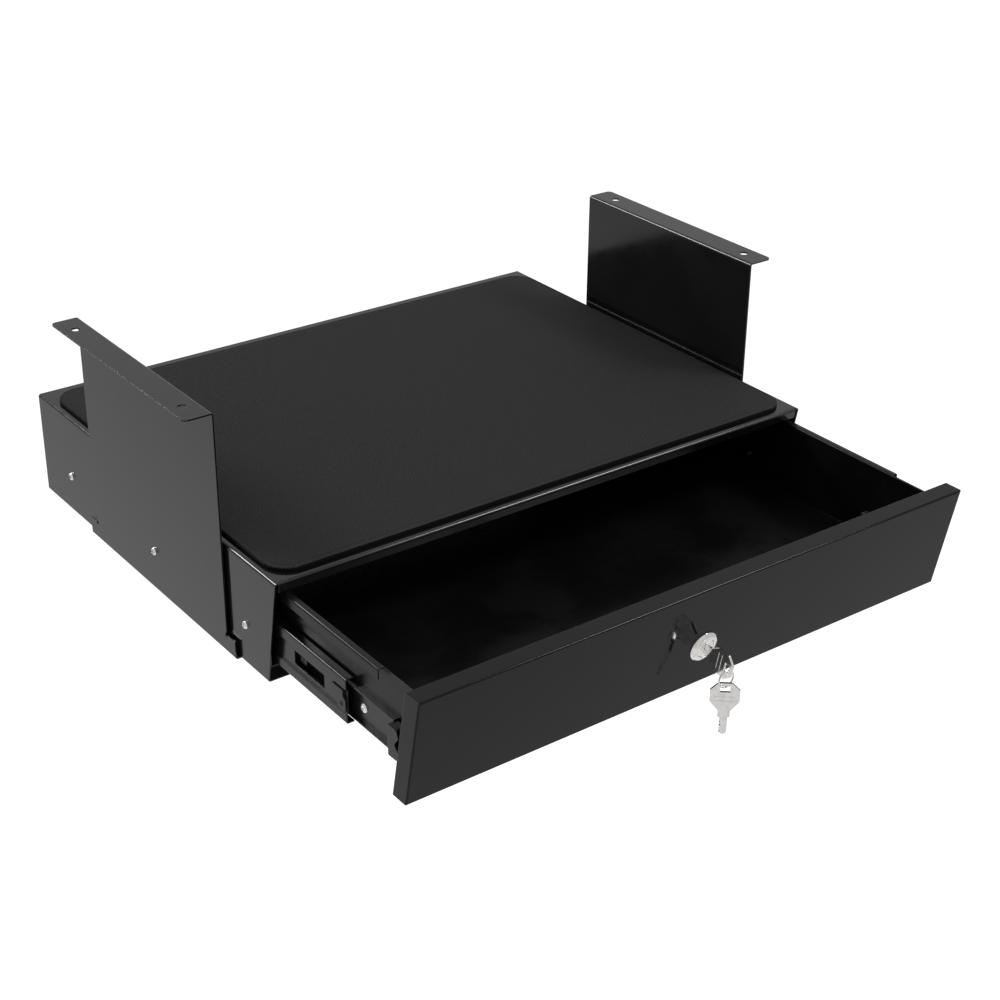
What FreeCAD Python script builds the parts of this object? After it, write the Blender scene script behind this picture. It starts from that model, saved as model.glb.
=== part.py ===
"""Lockable drawer that hangs under a desk top, on two brackets, from its own sheet-metal case.

Every sub-part is an object of one FreeCAD document and takes its sizes from the Sizes sheet.
Frame: the origin is the middle of the four desk screw holes, on the plane of the desk's underside.
+X is to the user's right, +Y goes under the desk and +Z is up. Sizes are in millimetres.
The drawer stands open by drawer_open, so its sub-parts are drawn as if closed and placed forward.
"""
import FreeCAD, Part
import os
import re
import Sketcher

SIZES = {
    # Case: one folded shell, open at the front and below, and a back panel.
    "case_wide": 562.0,
    "case_deep": 434.0,
    "case_tall": 100.0,
    "case_sheet": 1.2,
    "case_bend": 1.2,
    "case_lip": 9.5,
    "case_flange": 22.0,
    "lip_relief": 0.4,
    "back_flange": 12.0,
    "rake": 19.0,
    # Brackets: how far the case hangs below the desk, and where it sits along them.
    "desk_gap": 117.0,
    "front_set": 199.0,
    "bracket_sheet": 1.5,
    "bracket_gap": 2.0,
    "bracket_bend": 1.0,
    "bracket_wide": 239.0,
    "bracket_flange": 24.7,
    "flange_corner": 4.5,
    "foot_wide": 266.0,
    "foot_from": 84.0,
    "foot_inward": 18.0,
    "relief_radius": 2.0,
    "desk_hole": 8.0,
    "desk_hole_out": 16.0,
    "desk_hole_pitch": 190.0,
    "foot_hole_in": 9.0,
    "foot_hole_pitch": 200.0,
    # Desk mat on the case.
    "mat_wide": 548.0,
    "mat_deep": 412.0,
    "mat_thick": 3.5,
    "mat_front": 8.5,
    "mat_corner": 23.0,
    "mat_edge": 1.0,
    # Ball slides.
    "slide_drop": 61.0,
    "slide_front": 16.0,
    "slide_length": 400.0,
    "slide_thick": 12.7,
    "slide_sheet": 1.2,
    "slide_hook": 2.6,
    "outer_rim_in": 1.0,
    "middle_rim_in": 1.7,
    "middle_depth": 3.8,
    "middle_tall": 40.0,
    "middle_band": 9.0,
    "middle_recess": 1.7,
    "middle_joggle": 0.5,
    "middle_round": 1.8,
    "middle_front": 29.6,
    "middle_length": 382.0,
    "middle_share": 0.68,
    "inner_front": 28.0,
    "inner_length": 380.0,
    "inner_rim": 4.5,
    "window_from": 33.5,
    "window_long": 44.0,
    "window_tall": 12.5,
    "window_pitch": 110.0,
    "ball_small": 2.4,
    "ball_large": 4.0,
    "race_play": 0.05,
    "small_set": 2.6,
    "large_set": 1.2,
    "cage_sheet": 0.8,
    "cage_play": 0.2,
    "outer_cage_back": 0.6,
    "outer_cage_reach": 2.4,
    "inner_cage_back": 0.3,
    "inner_cage_reach": 2.6,
    "cage_length": 110.0,
    "cage_outer_from": 160.5,
    "cage_inner_from": 149.5,
    "ball_pitch": 15.0,
    "lever_length": 52.0,
    "lever_thick": 2.0,
    "lever_from": 150.0,
    "lever_pin_in": 8.0,
    "lever_eye": 9.0,
    "lever_reach": 14.0,
    "lever_arm": 5.0,
    "lever_grip": 8.0,
    "lever_round": 1.2,
    "lever_play": 0.3,
    "stop_long": 14.0,
    "stop_tail": 9.0,
    "stop_thick": 8.5,
    "stop_round": 2.5,
    "bumper_long": 19.0,
    "bumper_waist": 13.0,
    "bumper_foot": 11.0,
    "bumper_step": 4.0,
    "bumper_set": 0.4,
    "bumper_round": 1.5,
    "bumper_pin_in": 7.0,
    "bumper_pin_drop": 4.6,
    # Fastener places along the case and the drawer.
    "case_screw_first": 50.5,
    "drawer_screw_first": 72.0,
    "screw_step_near": 151.5,
    "screw_step_far": 171.5,
    "screw_size": 4.0,
    "screw_play": 0.4,
    "screw_recess": 1.0,
    "screw_end": 3.0,
    "flat_end": 2.5,
    "pan_head": 7.2,
    "pan_tall": 2.8,
    "flat_head": 8.4,
    "flat_tall": 2.0,
    "cam_head": 9.0,
    "cam_screw": 7.0,
    "rivet_shank": 3.0,
    "rivet_play": 0.2,
    "rivet_head": 5.0,
    "rivet_tall": 0.9,
    # Drawer.
    "drawer_open": 178.0,
    "tray_sheet": 1.0,
    "tray_bend": 1.0,
    "tray_drop": 10.8,
    "tray_floor": 82.0,
    "tray_flange": 5.9,
    "tray_lip": 9.0,
    "tray_notch": 45.5,
    "tray_back": 418.0,
    "wall_drop": 5.0,
    "backing_rise": 2.0,
    "backing_drop": 4.0,
    "hem_high": 17.0,
    "hem_low": 30.0,
    "close_gap": 3.0,
    "panel_deep": 17.5,
    "panel_tall": 99.6,
    "panel_drop": 2.6,
    "panel_sheet": 1.2,
    "panel_edge": 1.4,
    "front_screw_out": 150.0,
    "front_hole": 5.4,
    "front_screw_drop": 1.0,
    "front_screw_rise": 5.0,
    # Cam lock.
    "lock_drop": 63.0,
    "rosette": 27.5,
    "rosette_tall": 3.2,
    "rosette_step": 1.2,
    "rosette_crown": 3.4,
    "barrel": 19.0,
    "barrel_long": 22.5,
    "barrel_play": 1.0,
    "barrel_clear": 4.0,
    "thread_play": 0.1,
    "plug": 13.0,
    "plug_head": 17.4,
    "plug_play": 0.06,
    "plug_sunk": 0.2,
    "plug_seat": 2.0,
    "plug_bevel": 0.5,
    "nut_flats": 24.0,
    "nut_thick": 4.0,
    "cam_long": 54.0,
    "cam_wide": 13.0,
    "cam_thick": 2.5,
    "cam_square": 7.0,
    "cam_play": 0.3,
    # Keys.
    "key_thick": 2.0,
    "key_head": 24.0,
    "key_neck": 9.8,
    "key_blade": 6.4,
    "key_shoulder": 8.0,
    "key_reach": 16.0,
    "key_room": 1.5,
    "key_play": 0.2,
    "key_stand": 0.3,
    "key_mark": 0.3,
    "key_slot_wide": 8.0,
    "key_slot_tall": 5.6,
    "key_rim": 2.8,
    "ring_size": 17.0,
    "ring_wire": 1.6,
    "ring_play": 0.3,
    "spare_turn": 50.0,
}

doc = FreeCAD.newDocument("UnderDeskDrawer")
sheet = doc.addObject("Spreadsheet::Sheet", "Sizes")
for row, (alias, number) in enumerate(SIZES.items(), 1):
    sheet.set(f"A{row}", alias)
    sheet.set(f"B{row}", str(number))
    sheet.setAlias(f"B{row}", alias)
doc.recompute()

SUB_PARTS = []

# Heights and depths that several sub-parts share, as expressions of the sheet's sizes.
HALF = "(case_wide/2)"
SLOPE = "(rake/case_tall)"
TILT = "atan(rake/case_tall)"
CASE_Y = "-front_set"
CASE_Z = "-desk_gap"
OPEN_Y = "-front_set - drawer_open"
MIDDLE_Y = "-front_set - drawer_open*middle_share"
OUTER_CAGE_Y = "-front_set - drawer_open*middle_share/2"
INNER_CAGE_Y = "-front_set - drawer_open*(1 + middle_share)/2"
LIP_HALF = "(case_wide/2 - 2*case_sheet - case_bend)"
TRAY_HALF = "(case_wide/2 - case_sheet - slide_thick)"
FACE_BACK = "(-close_gap)"
PLUG_FACE = "(rosette_tall - plug_sunk)"
CAM_FRONT = "(-barrel_long - cam_play)"
LOCK_HOLE_Z = f"(-lock_drop + panel_deep*{SLOPE})"


def bound(text):
    """Return an expression in which each size name points at the sheet."""
    return re.sub(r"[a-z_]+", lambda word: "Sizes." + word[0] if word[0] in SIZES else word[0], text)


def value(text):
    """Return what an expression is worth now."""
    result = sheet.evalExpression(bound(text))
    return getattr(result, "Value", result)


def drive(thing, **links):
    """Bind properties of an object to expressions."""
    for name, text in links.items():
        thing.setExpression(name.replace("__", "."), bound(text))


def locate(thing, x="0", y="0", z="0", axis=None, angle=None):
    """Bind an object's place, and its turn about an axis, to expressions."""
    if axis:
        thing.Placement.Rotation = FreeCAD.Rotation(FreeCAD.Vector(*axis), 30)
        drive(thing, Placement__Rotation__Angle=angle)
    drive(thing, Placement__Base__x=x, Placement__Base__y=y, Placement__Base__z=z)


def sub_part(thing, label):
    """List an object as a sub-part of the drawer."""
    thing.Label = label
    SUB_PARTS.append(thing)
    return thing


def new_body(name, x="0", y=CASE_Y, z=CASE_Z, axis=None, angle=None, listed=True):
    """Start a body in a place of its own."""
    body = doc.addObject("PartDesign::Body", name)
    locate(body, x, y, z, axis, angle)
    return sub_part(body, name) if listed else body


def origin_feature(body, role):
    """Return a plane or an axis of a body's own origin."""
    return next(item for item in body.Origin.OriginFeatures if item.Role == role)


def new_sketch(body, plane, offset="0"):
    """Attach a sketch to one of a body's origin planes, moved along that plane's normal."""
    sketch = body.newObject("Sketcher::SketchObject", f"{body.Name}_outline")
    sketch.AttachmentSupport = (origin_feature(body, plane), [""])
    sketch.MapMode = "FlatFace"
    drive(sketch, AttachmentOffset__Base__z=offset)
    return sketch


def pin(sketch, item, end, u, v):
    """Fix one point of a sketch at expressions for its two coordinates."""
    for kind, text, axis_line in (("DistanceX", u, -2), ("DistanceY", v, -1)):
        if abs(value(text)) < 1e-9:
            sketch.addConstraint(Sketcher.Constraint("PointOnObject", item, end, axis_line))
            continue
        index = sketch.addConstraint(Sketcher.Constraint(kind, -1, 1, item, end, value(text)))
        sketch.setExpression(f"Constraints[{index}]", bound(text))


def outline(sketch, corners):
    """Draw a closed outline of straight lines through corners given as expressions."""
    first = sketch.GeometryCount
    spots = [FreeCAD.Vector(value(u), value(v), 0) for u, v in corners]
    count = len(corners)
    for index in range(count):
        sketch.addGeometry(Part.LineSegment(spots[index], spots[(index + 1) % count]))
    for index in range(count):
        following = first + (index + 1) % count
        sketch.addConstraint(Sketcher.Constraint("Coincident", first + index, 2, following, 1))
    for index, (u, v) in enumerate(corners):
        pin(sketch, first + index, 1, u, v)
    return sketch


def box_outline(sketch, left, right, low, high):
    """Draw a rectangle from its four limits."""
    return outline(sketch, [(left, low), (right, low), (right, high), (left, high)])


def circle(sketch, u, v, diameter):
    """Draw a circle of a given diameter."""
    centre = FreeCAD.Vector(value(u), value(v), 0)
    item = sketch.addGeometry(Part.Circle(centre, FreeCAD.Vector(0, 0, 1), value(diameter) / 2))
    pin(sketch, item, 3, u, v)
    index = sketch.addConstraint(Sketcher.Constraint("Diameter", item, value(diameter)))
    sketch.setExpression(f"Constraints[{index}]", bound(diameter))
    return sketch


def pad(body, sketch, length, both_ways=False, flip=False):
    """Add material along a sketch's normal."""
    feature = body.newObject("PartDesign::Pad", f"{body.Name}_pad")
    feature.Profile = sketch
    drive(feature, Length=length)
    feature.SideType = "Symmetric" if both_ways else "One side"
    feature.Reversed = flip
    doc.recompute()
    return feature


def pocket(body, sketch, length=None, flip=False):
    """Cut a sketch out of a body: right through both ways, or to a depth."""
    before = body.Tip.Shape.Volume
    feature = body.newObject("PartDesign::Pocket", f"{body.Name}_pocket")
    feature.Profile = sketch
    if length is None:
        feature.Type = "ThroughAll"
        feature.SideType = "Symmetric"
    else:
        drive(feature, Length=length)
    feature.Reversed = flip
    doc.recompute()
    if feature.Shape.Volume > before - 1e-6:
        raise RuntimeError(f"{feature.Name} cuts nothing")
    return feature


def revolve(body, sketch, line="V_Axis"):
    """Turn a sketch once round one of its own axes."""
    feature = body.newObject("PartDesign::Revolution", f"{body.Name}_turn")
    feature.Profile = sketch
    feature.ReferenceAxis = (sketch, [line])
    feature.Angle = 360
    doc.recompute()
    return feature


def repeat(body, feature, axis, length, count):
    """Repeat a feature in a row along an axis of the body."""
    pattern = body.newObject("PartDesign::LinearPattern", f"{body.Name}_row")
    pattern.Originals = [feature]
    pattern.Direction = (origin_feature(body, axis), [""])
    drive(pattern, Length=length)
    pattern.Occurrences = count
    body.Tip = pattern
    doc.recompute()
    return pattern


def edges_along(shape, axis, spots, shortest=0.0):
    """Name the straight edges parallel to an axis that pass through spots across it."""
    across = [name for name in "xyz" if name != axis]
    targets = [[value(text) for text in spot] for spot in spots]
    names = []
    for index, edge in enumerate(shape.Edges, 1):
        ends = [vertex.Point for vertex in edge.Vertexes]
        if len(ends) != 2 or any(abs(getattr(ends[0], k) - getattr(ends[1], k)) > 1e-3 for k in across):
            continue
        if edge.Length < shortest:
            continue
        if any(all(abs(getattr(ends[0], k) - goal) < 1e-2 for k, goal in zip(across, target))
               for target in targets):
            names.append(f"Edge{index}")
    return names


def soften(body, radius, names):
    """Round named edges of a body."""
    if not names:
        raise RuntimeError(f"{body.Name} has no such edge")
    base = body.Tip
    feature = body.newObject("PartDesign::Fillet", f"{body.Name}_fillet")
    feature.Base = (base, names)
    drive(feature, Radius=radius)
    doc.recompute()
    return feature


def bend(body, axis, inner_radius, sheet_thick, outer=(), inner=()):
    """Round the outside and the inside of sheet-metal bends."""
    if outer:
        names = edges_along(body.Tip.Shape, axis, outer, shortest=5.0)
        soften(body, f"{inner_radius} + {sheet_thick}", names)
    if inner:
        soften(body, inner_radius, edges_along(body.Tip.Shape, axis, inner, shortest=5.0))


def mirrored(*spots):
    """Return spots and their mirror images in the X = 0 plane."""
    return [(f"{sign}*({u})", v) for u, v in spots for sign in (1, -1)]


# ---- Fasteners ----

def screw_master(name, head, head_tall, length):
    """A pan head screw along -Z with its seat at Z = 0 and a cross recess in its head."""
    body = new_body(name, y="0", z="0", listed=False)
    radius = f"({head}/2)"
    profile = [("0", f"-({length})"), ("screw_size/2", f"-({length})"), ("screw_size/2", "0"),
               (radius, "0"), (radius, f"{head_tall}*0.45"), (f"{radius}*0.82", f"{head_tall}*0.82"),
               (f"{radius}*0.5", head_tall), ("0", head_tall)]
    revolve(body, outline(new_sketch(body, "XZ_Plane"), profile))
    arm = f"({head}*0.3)"
    slot = "(screw_recess/2)"
    recess = [(arm, f"-{slot}"), (arm, slot), (slot, slot), (slot, arm), (f"-{slot}", arm),
              (f"-{slot}", slot), (f"-{arm}", slot), (f"-{arm}", f"-{slot}"), (f"-{slot}", f"-{slot}"),
              (f"-{slot}", f"-{arm}"), (slot, f"-{arm}"), (slot, f"-{slot}")]
    pocket(body, outline(new_sketch(body, "XY_Plane", head_tall), recess), f"{head_tall}*0.6")
    return body


def rivet_master(name, length):
    """A dome head rivet along -Z with its seat at Z = 0 and a flush end."""
    body = new_body(name, y="0", z="0", listed=False)
    profile = [("0", f"-({length})"), ("rivet_shank/2", f"-({length})"), ("rivet_shank/2", "0"),
               ("rivet_head/2", "0"), ("rivet_head*0.42", "rivet_tall*0.6"),
               ("rivet_head*0.22", "rivet_tall"), ("0", "rivet_tall")]
    revolve(body, outline(new_sketch(body, "XZ_Plane"), profile))
    return body


def group(label, master, places, axis=None, angle=None):
    """Gather copies of one fastener, each in its own place, as one sub-part."""
    members = []
    for index, (x, y, z) in enumerate(places, 1):
        copy = doc.addObject("App::Link", f"{label}_{index}")
        copy.LinkedObject = master
        locate(copy, x, y, z, axis, angle)
        members.append(copy)
    compound = doc.addObject("Part::Compound", label)
    compound.Links = members
    doc.recompute()
    return sub_part(compound, label)


SCREW_STEPS = ("0", "screw_step_near", "screw_step_near + screw_step_far")
SIDES = (("left", -1), ("right", 1))


# ---- Case ----

def case_shell():
    """Top, both sides and the two bottom flanges, folded from one sheet, with a raked front."""
    body = new_body("case_shell")
    lower = "(-case_tall + case_sheet)"
    section = [(f"-{HALF} + case_flange", "-case_tall"), (f"-{HALF}", "-case_tall"), (f"-{HALF}", "0"),
               (HALF, "0"), (HALF, "-case_tall"), (f"{HALF} - case_flange", "-case_tall"),
               (f"{HALF} - case_flange", lower), (f"{HALF} - case_sheet", lower),
               (f"{HALF} - case_sheet", "-case_sheet"), (f"-{HALF} + case_sheet", "-case_sheet"),
               (f"-{HALF} + case_sheet", lower), (f"-{HALF} + case_flange", lower)]
    pad(body, outline(new_sketch(body, "XZ_Plane"), section), "case_deep", flip=True)
    bend(body, "y", "case_bend", "case_sheet",
         outer=mirrored((HALF, "0"), (HALF, "-case_tall")),
         inner=mirrored((f"{HALF} - case_sheet", "-case_sheet"), (f"{HALF} - case_sheet", lower)))
    waste = [("0", "0"), ("rake", "-case_tall"), ("rake", "-case_tall - 1"),
             ("-1", "-case_tall - 1"), ("-1", "0")]
    pocket(body, outline(new_sketch(body, "YZ_Plane"), waste))
    lip = [("0", "0"), (f"{SLOPE}*case_lip", "-case_lip"), (f"{SLOPE}*case_lip + case_sheet", "-case_lip"),
           ("case_sheet", "0")]
    pad(body, outline(new_sketch(body, "YZ_Plane"), lip), f"2*{LIP_HALF}", both_ways=True)
    reliefs = new_sketch(body, "XY_Plane")
    for sign in (-1, 1):
        box_outline(reliefs, f"{sign}*{LIP_HALF}", f"{sign}*({LIP_HALF} + lip_relief)", "-1",
                    "case_sheet + 3*case_bend")
    pocket(body, reliefs, "2*case_sheet")
    bend(body, "x", "case_bend", "case_sheet", outer=[("0", "0")],
         inner=[(f"case_sheet*(1 + {SLOPE})", "-case_sheet")])
    holes = new_sketch(body, "YZ_Plane")
    for step in SCREW_STEPS:
        circle(holes, f"case_screw_first + {step}", "-slide_drop", "screw_size + screw_play")
    pocket(body, holes)
    feet = new_sketch(body, "XY_Plane", "-case_tall - 1")
    for x, y in foot_screw_spots():
        circle(feet, x, y, "screw_size + screw_play")
    pocket(body, feet, "case_sheet + 2", flip=True)
    return body


def foot_screw_spots():
    """Where the bracket feet are screwed to the case's bottom flanges."""
    return [(f"{sign}*({HALF} - foot_hole_in)", f"front_set + {end}*foot_hole_pitch/2")
            for sign in (-1, 1) for end in (-1, 1)]


def case_back():
    """Pan-shaped back panel, its flanges turned forward inside the shell."""
    body = new_body("case_back")
    half = f"({HALF} - case_sheet)"
    high = "(-case_sheet)"
    low = "(-case_tall + case_sheet)"
    rear = "case_deep"
    pad(body, box_outline(new_sketch(body, "XZ_Plane", f"-{rear}"), f"-{half}", half, low, high),
        "back_flange")
    soften(body, "case_bend", edges_along(body.Tip.Shape, "y", mirrored((half, high), (half, low))))
    hollow = box_outline(new_sketch(body, "XZ_Plane", f"-{rear} + back_flange"),
                         f"-{half} + case_sheet", f"{half} - case_sheet",
                         f"{low} + case_sheet", f"{high} - case_sheet")
    pocket(body, hollow, "back_flange - case_sheet")
    return body


def bracket(side, sign):
    """Bracket: an upright plate, a flange out under the desk and a foot in under the case."""
    body = new_body(f"bracket_{side}")
    near = f"({HALF} + bracket_gap)"
    far = f"({near} + bracket_sheet)"
    edge = f"({far} + bracket_flange)"
    toe = f"({HALF} - foot_inward)"
    upper = "bracket_wide/2"
    lower = "foot_wide/2"
    floor = "(-case_tall - bracket_sheet)"
    plate = [(f"front_set - {upper}", "desk_gap"), (f"front_set - {upper}", "-foot_from"),
             (f"front_set - {lower}", "-foot_from"), (f"front_set - {lower}", floor),
             (f"front_set + {lower}", floor), (f"front_set + {lower}", "-foot_from"),
             (f"front_set + {upper}", "-foot_from"), (f"front_set + {upper}", "desk_gap")]
    start = near if sign > 0 else f"-{far}"
    pad(body, outline(new_sketch(body, "YZ_Plane", start), plate), "bracket_sheet")
    flange = new_sketch(body, "XY_Plane", "desk_gap")
    outline(flange, [(f"{sign}*{near}", f"front_set - {upper}"), (f"{sign}*{edge}", f"front_set - {upper}"),
                     (f"{sign}*{edge}", f"front_set + {upper}"), (f"{sign}*{near}", f"front_set + {upper}")])
    pad(body, flange, "bracket_sheet", flip=True)
    foot = new_sketch(body, "XY_Plane", floor)
    outline(foot, [(f"{sign}*{far}", f"front_set - {lower}"), (f"{sign}*{toe}", f"front_set - {lower}"),
                   (f"{sign}*{toe}", f"front_set + {lower}"), (f"{sign}*{far}", f"front_set + {lower}")])
    pad(body, foot, "bracket_sheet")
    bend(body, "y", "bracket_bend", "bracket_sheet",
         outer=[(f"{sign}*{near}", "desk_gap"), (f"{sign}*{far}", floor)],
         inner=[(f"{sign}*{far}", "desk_gap - bracket_sheet"), (f"{sign}*{near}", "-case_tall")])
    soften(body, "flange_corner", edges_along(body.Tip.Shape, "z", [
        (f"{sign}*{edge}", f"front_set - {upper}"), (f"{sign}*{edge}", f"front_set + {upper}")]))
    notches = new_sketch(body, "YZ_Plane")
    for end in ("-", "+"):
        circle(notches, f"front_set {end} {upper}", "-foot_from", "2*relief_radius")
    pocket(body, notches)
    side_hole = new_sketch(body, "YZ_Plane")
    circle(side_hole, "case_screw_first + screw_step_near", "-slide_drop", "screw_size + screw_play")
    pocket(body, side_hole)
    desk_holes = new_sketch(body, "XY_Plane")
    for end in ("-", "+"):
        circle(desk_holes, f"{sign}*({HALF} + desk_hole_out)",
               f"front_set {end} desk_hole_pitch/2", "desk_hole")
    pocket(body, desk_holes)
    foot_holes = new_sketch(body, "XY_Plane")
    for x, y in foot_screw_spots():
        if value(x) * sign > 0:
            circle(foot_holes, x, y, "screw_size + screw_play")
    pocket(body, foot_holes)
    return body


def desk_mat():
    """Mat with round corners that covers the top of the case."""
    body = new_body("desk_mat")
    half = "(mat_wide/2)"
    rear = "(mat_front + mat_deep)"
    pad(body, box_outline(new_sketch(body, "XY_Plane"), f"-{half}", half, "mat_front", rear), "mat_thick")
    soften(body, "mat_corner", edges_along(body.Tip.Shape, "z", mirrored((half, "mat_front"), (half, rear))))
    rim = [f"Edge{index}" for index, edge in enumerate(body.Tip.Shape.Edges, 1)
           if edge.BoundBox.ZMin > value("mat_thick") - 1e-3]
    soften(body, "mat_edge", rim)
    return body


# ---- Ball slides ----

def across(sign, depth):
    """X of a point that lies a depth inward from the case's outer side face."""
    return f"{sign}*({HALF} - ({depth}))"


def slide_section(body, sign, half_section):
    """Sketch a slide member's section from its upper half, given as depth and height pairs."""
    lower = [(depth, f"-({height})") for depth, height in reversed(half_section)]
    corners = [(across(sign, depth), f"-slide_drop + {height}") for depth, height in half_section + lower]
    return outline(new_sketch(body, "XZ_Plane"), corners)


OUTER_HALF = "(middle_tall/2 + ball_small + 2*race_play + slide_sheet)"
INNER_HALF = "(middle_tall/2 - slide_sheet - ball_large - 2*race_play)"
MIDDLE_FACE = "(case_sheet + middle_depth)"
MIDDLE_WEB = f"({MIDDLE_FACE} + middle_recess)"
SLIDE_INSIDE = "(case_sheet + slide_thick)"
INNER_TIP = f"({SLIDE_INSIDE} - inner_rim)"
BUMPER_THICK = "(middle_recess + bumper_set)"
LEVER_FACE = f"({SLIDE_INSIDE} - slide_sheet - lever_play)"
LEVER_Y = f"({OPEN_Y} + lever_from + lever_pin_in)"


def slide_outer(side, sign):
    """Fixed member: a channel that opens inward, with hooked rims that keep the balls in."""
    body = new_body(f"slide_outer_{side}", y=f"{CASE_Y} + slide_front")
    back = "case_sheet"
    rim = f"({SLIDE_INSIDE} - outer_rim_in)"
    half = [(back, OUTER_HALF), (rim, OUTER_HALF), (rim, f"{OUTER_HALF} - slide_hook"),
            (f"{rim} - slide_sheet", f"{OUTER_HALF} - slide_hook"),
            (f"{rim} - slide_sheet", f"{OUTER_HALF} - slide_sheet"),
            (f"{back} + slide_sheet", f"{OUTER_HALF} - slide_sheet")]
    pad(body, slide_section(body, sign, half), "slide_length", flip=True)
    holes = new_sketch(body, "YZ_Plane")
    for step in SCREW_STEPS:
        circle(holes, f"case_screw_first - slide_front + {step}", "-slide_drop", "screw_size + screw_play")
    pocket(body, holes)
    return body


def slide_middle(side, sign):
    """Middle member: outer bands for the small balls, a sunk web with windows between them."""
    body = new_body(f"slide_middle_{side}", y=f"{MIDDLE_Y} + middle_front")
    top = "(middle_tall/2)"
    rim = f"({SLIDE_INSIDE} - middle_rim_in)"
    step = f"({top} - middle_band)"
    half = [(rim, top), (MIDDLE_FACE, top), (MIDDLE_FACE, step), (MIDDLE_WEB, f"{step} - middle_recess")]
    inside = [(f"{MIDDLE_WEB} + slide_sheet", f"{step} - middle_recess + middle_joggle"),
              (f"{MIDDLE_FACE} + slide_sheet", f"{step} + middle_joggle"),
              (f"{MIDDLE_FACE} + slide_sheet", f"{top} - slide_sheet"), (rim, f"{top} - slide_sheet")]
    corners = half + [(depth, f"-({height})") for depth, height in reversed(half)]
    corners += [(depth, f"-({height})") for depth, height in reversed(inside)] + inside
    points = [(across(sign, depth), f"-slide_drop + {height}") for depth, height in corners]
    pad(body, outline(new_sketch(body, "XZ_Plane"), points), "middle_length", flip=True)
    soften(body, "middle_round", edges_along(body.Tip.Shape, "y", [
        (across(sign, MIDDLE_FACE), f"-slide_drop + {end}{top}") for end in ("", "-")]))
    window = box_outline(new_sketch(body, "YZ_Plane"), "window_from", "window_from + window_long",
                         "-slide_drop - window_tall/2", "-slide_drop + window_tall/2")
    repeat(body, pocket(body, window), "Y_Axis", "2*window_pitch", 3)
    return body


def slide_inner(side, sign):
    """Inner member: a shallow channel on the drawer's side."""
    body = new_body(f"slide_inner_{side}", y=f"{OPEN_Y} + inner_front")
    half = [(SLIDE_INSIDE, INNER_HALF), (INNER_TIP, INNER_HALF), (INNER_TIP, f"{INNER_HALF} - slide_sheet"),
            (f"{SLIDE_INSIDE} - slide_sheet", f"{INNER_HALF} - slide_sheet")]
    lower = [(depth, f"-({height})") for depth, height in reversed(half)]
    points = [(across(sign, depth), f"-slide_drop + {height}") for depth, height in half + lower]
    pad(body, outline(new_sketch(body, "XZ_Plane"), points), "inner_length", flip=True)
    holes = new_sketch(body, "YZ_Plane")
    for step in SCREW_STEPS:
        circle(holes, f"drawer_screw_first - inner_front + {step}", "-slide_drop", "screw_size + screw_play")
    circle(holes, "lever_from - inner_front + lever_pin_in", "-slide_drop", "rivet_shank + rivet_play")
    pocket(body, holes)
    return body


def ball_row(label, centre_depth, centre_height, diameter, start, sign, cage_y):
    """Balls in an upper and a lower row, spaced along a cage."""
    members = []
    count = int(value("cage_length") // value("ball_pitch"))
    for end in (-1, 1):
        for index in range(count):
            ball = doc.addObject("Part::Sphere", f"{label}_{index}")
            drive(ball, Radius=f"{diameter}/2")
            locate(ball, across(sign, centre_depth),
                   f"{cage_y} + {start} + ball_pitch/2 + {index}*ball_pitch",
                   f"-desk_gap - slide_drop + {end}*({centre_height})")
            members.append(ball)
    compound = doc.addObject("Part::Compound", label)
    compound.Links = members
    doc.recompute()
    return sub_part(compound, label)


def ball_cage(label, web, reach, height, ball_depth, diameter, start, sign, cage_y):
    """Ball cage: a channel of thin sheet with a row of round pockets along each arm."""
    body = new_body(label, y=f"{cage_y} + {start}")
    outside = f"({height} + cage_sheet/2)"
    inside = f"({height} - cage_sheet/2)"
    half = [(web, outside), (reach, outside), (reach, inside), (f"{web} + cage_sheet", inside)]
    pad(body, slide_section(body, sign, half), "cage_length", flip=True)
    hole = new_sketch(body, "XY_Plane", "-slide_drop")
    circle(hole, across(sign, ball_depth), "ball_pitch/2", f"{diameter} + cage_play")
    count = int(value("cage_length") // value("ball_pitch"))
    repeat(body, pocket(body, hole), "Y_Axis", f"{count - 1}*ball_pitch", count)
    return body


def cages_and_balls(side, sign):
    """Both ball sets of one slide: small balls outside the middle member, large ones inside."""
    small_height = "(middle_tall/2 + race_play + ball_small/2)"
    large_height = "(middle_tall/2 - slide_sheet - race_play - ball_large/2)"
    small_depth = f"({MIDDLE_FACE} + small_set)"
    large_depth = f"({INNER_TIP} + large_set)"
    ball_cage(f"cage_outer_{side}", "(case_sheet + slide_sheet + outer_cage_back)",
              f"({small_depth} + outer_cage_reach)", small_height, small_depth, "ball_small",
              "cage_outer_from", sign, OUTER_CAGE_Y)
    ball_row(f"balls_outer_{side}", small_depth, small_height, "ball_small", "cage_outer_from", sign,
             OUTER_CAGE_Y)
    ball_cage(f"cage_inner_{side}", f"({MIDDLE_WEB} + slide_sheet + inner_cage_back)",
              f"({large_depth} + inner_cage_reach)", large_height, large_depth, "ball_large",
              "cage_inner_from", sign, INNER_CAGE_Y)
    ball_row(f"balls_inner_{side}", large_depth, large_height, "ball_large", "cage_inner_from", sign,
             INNER_CAGE_Y)


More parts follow.
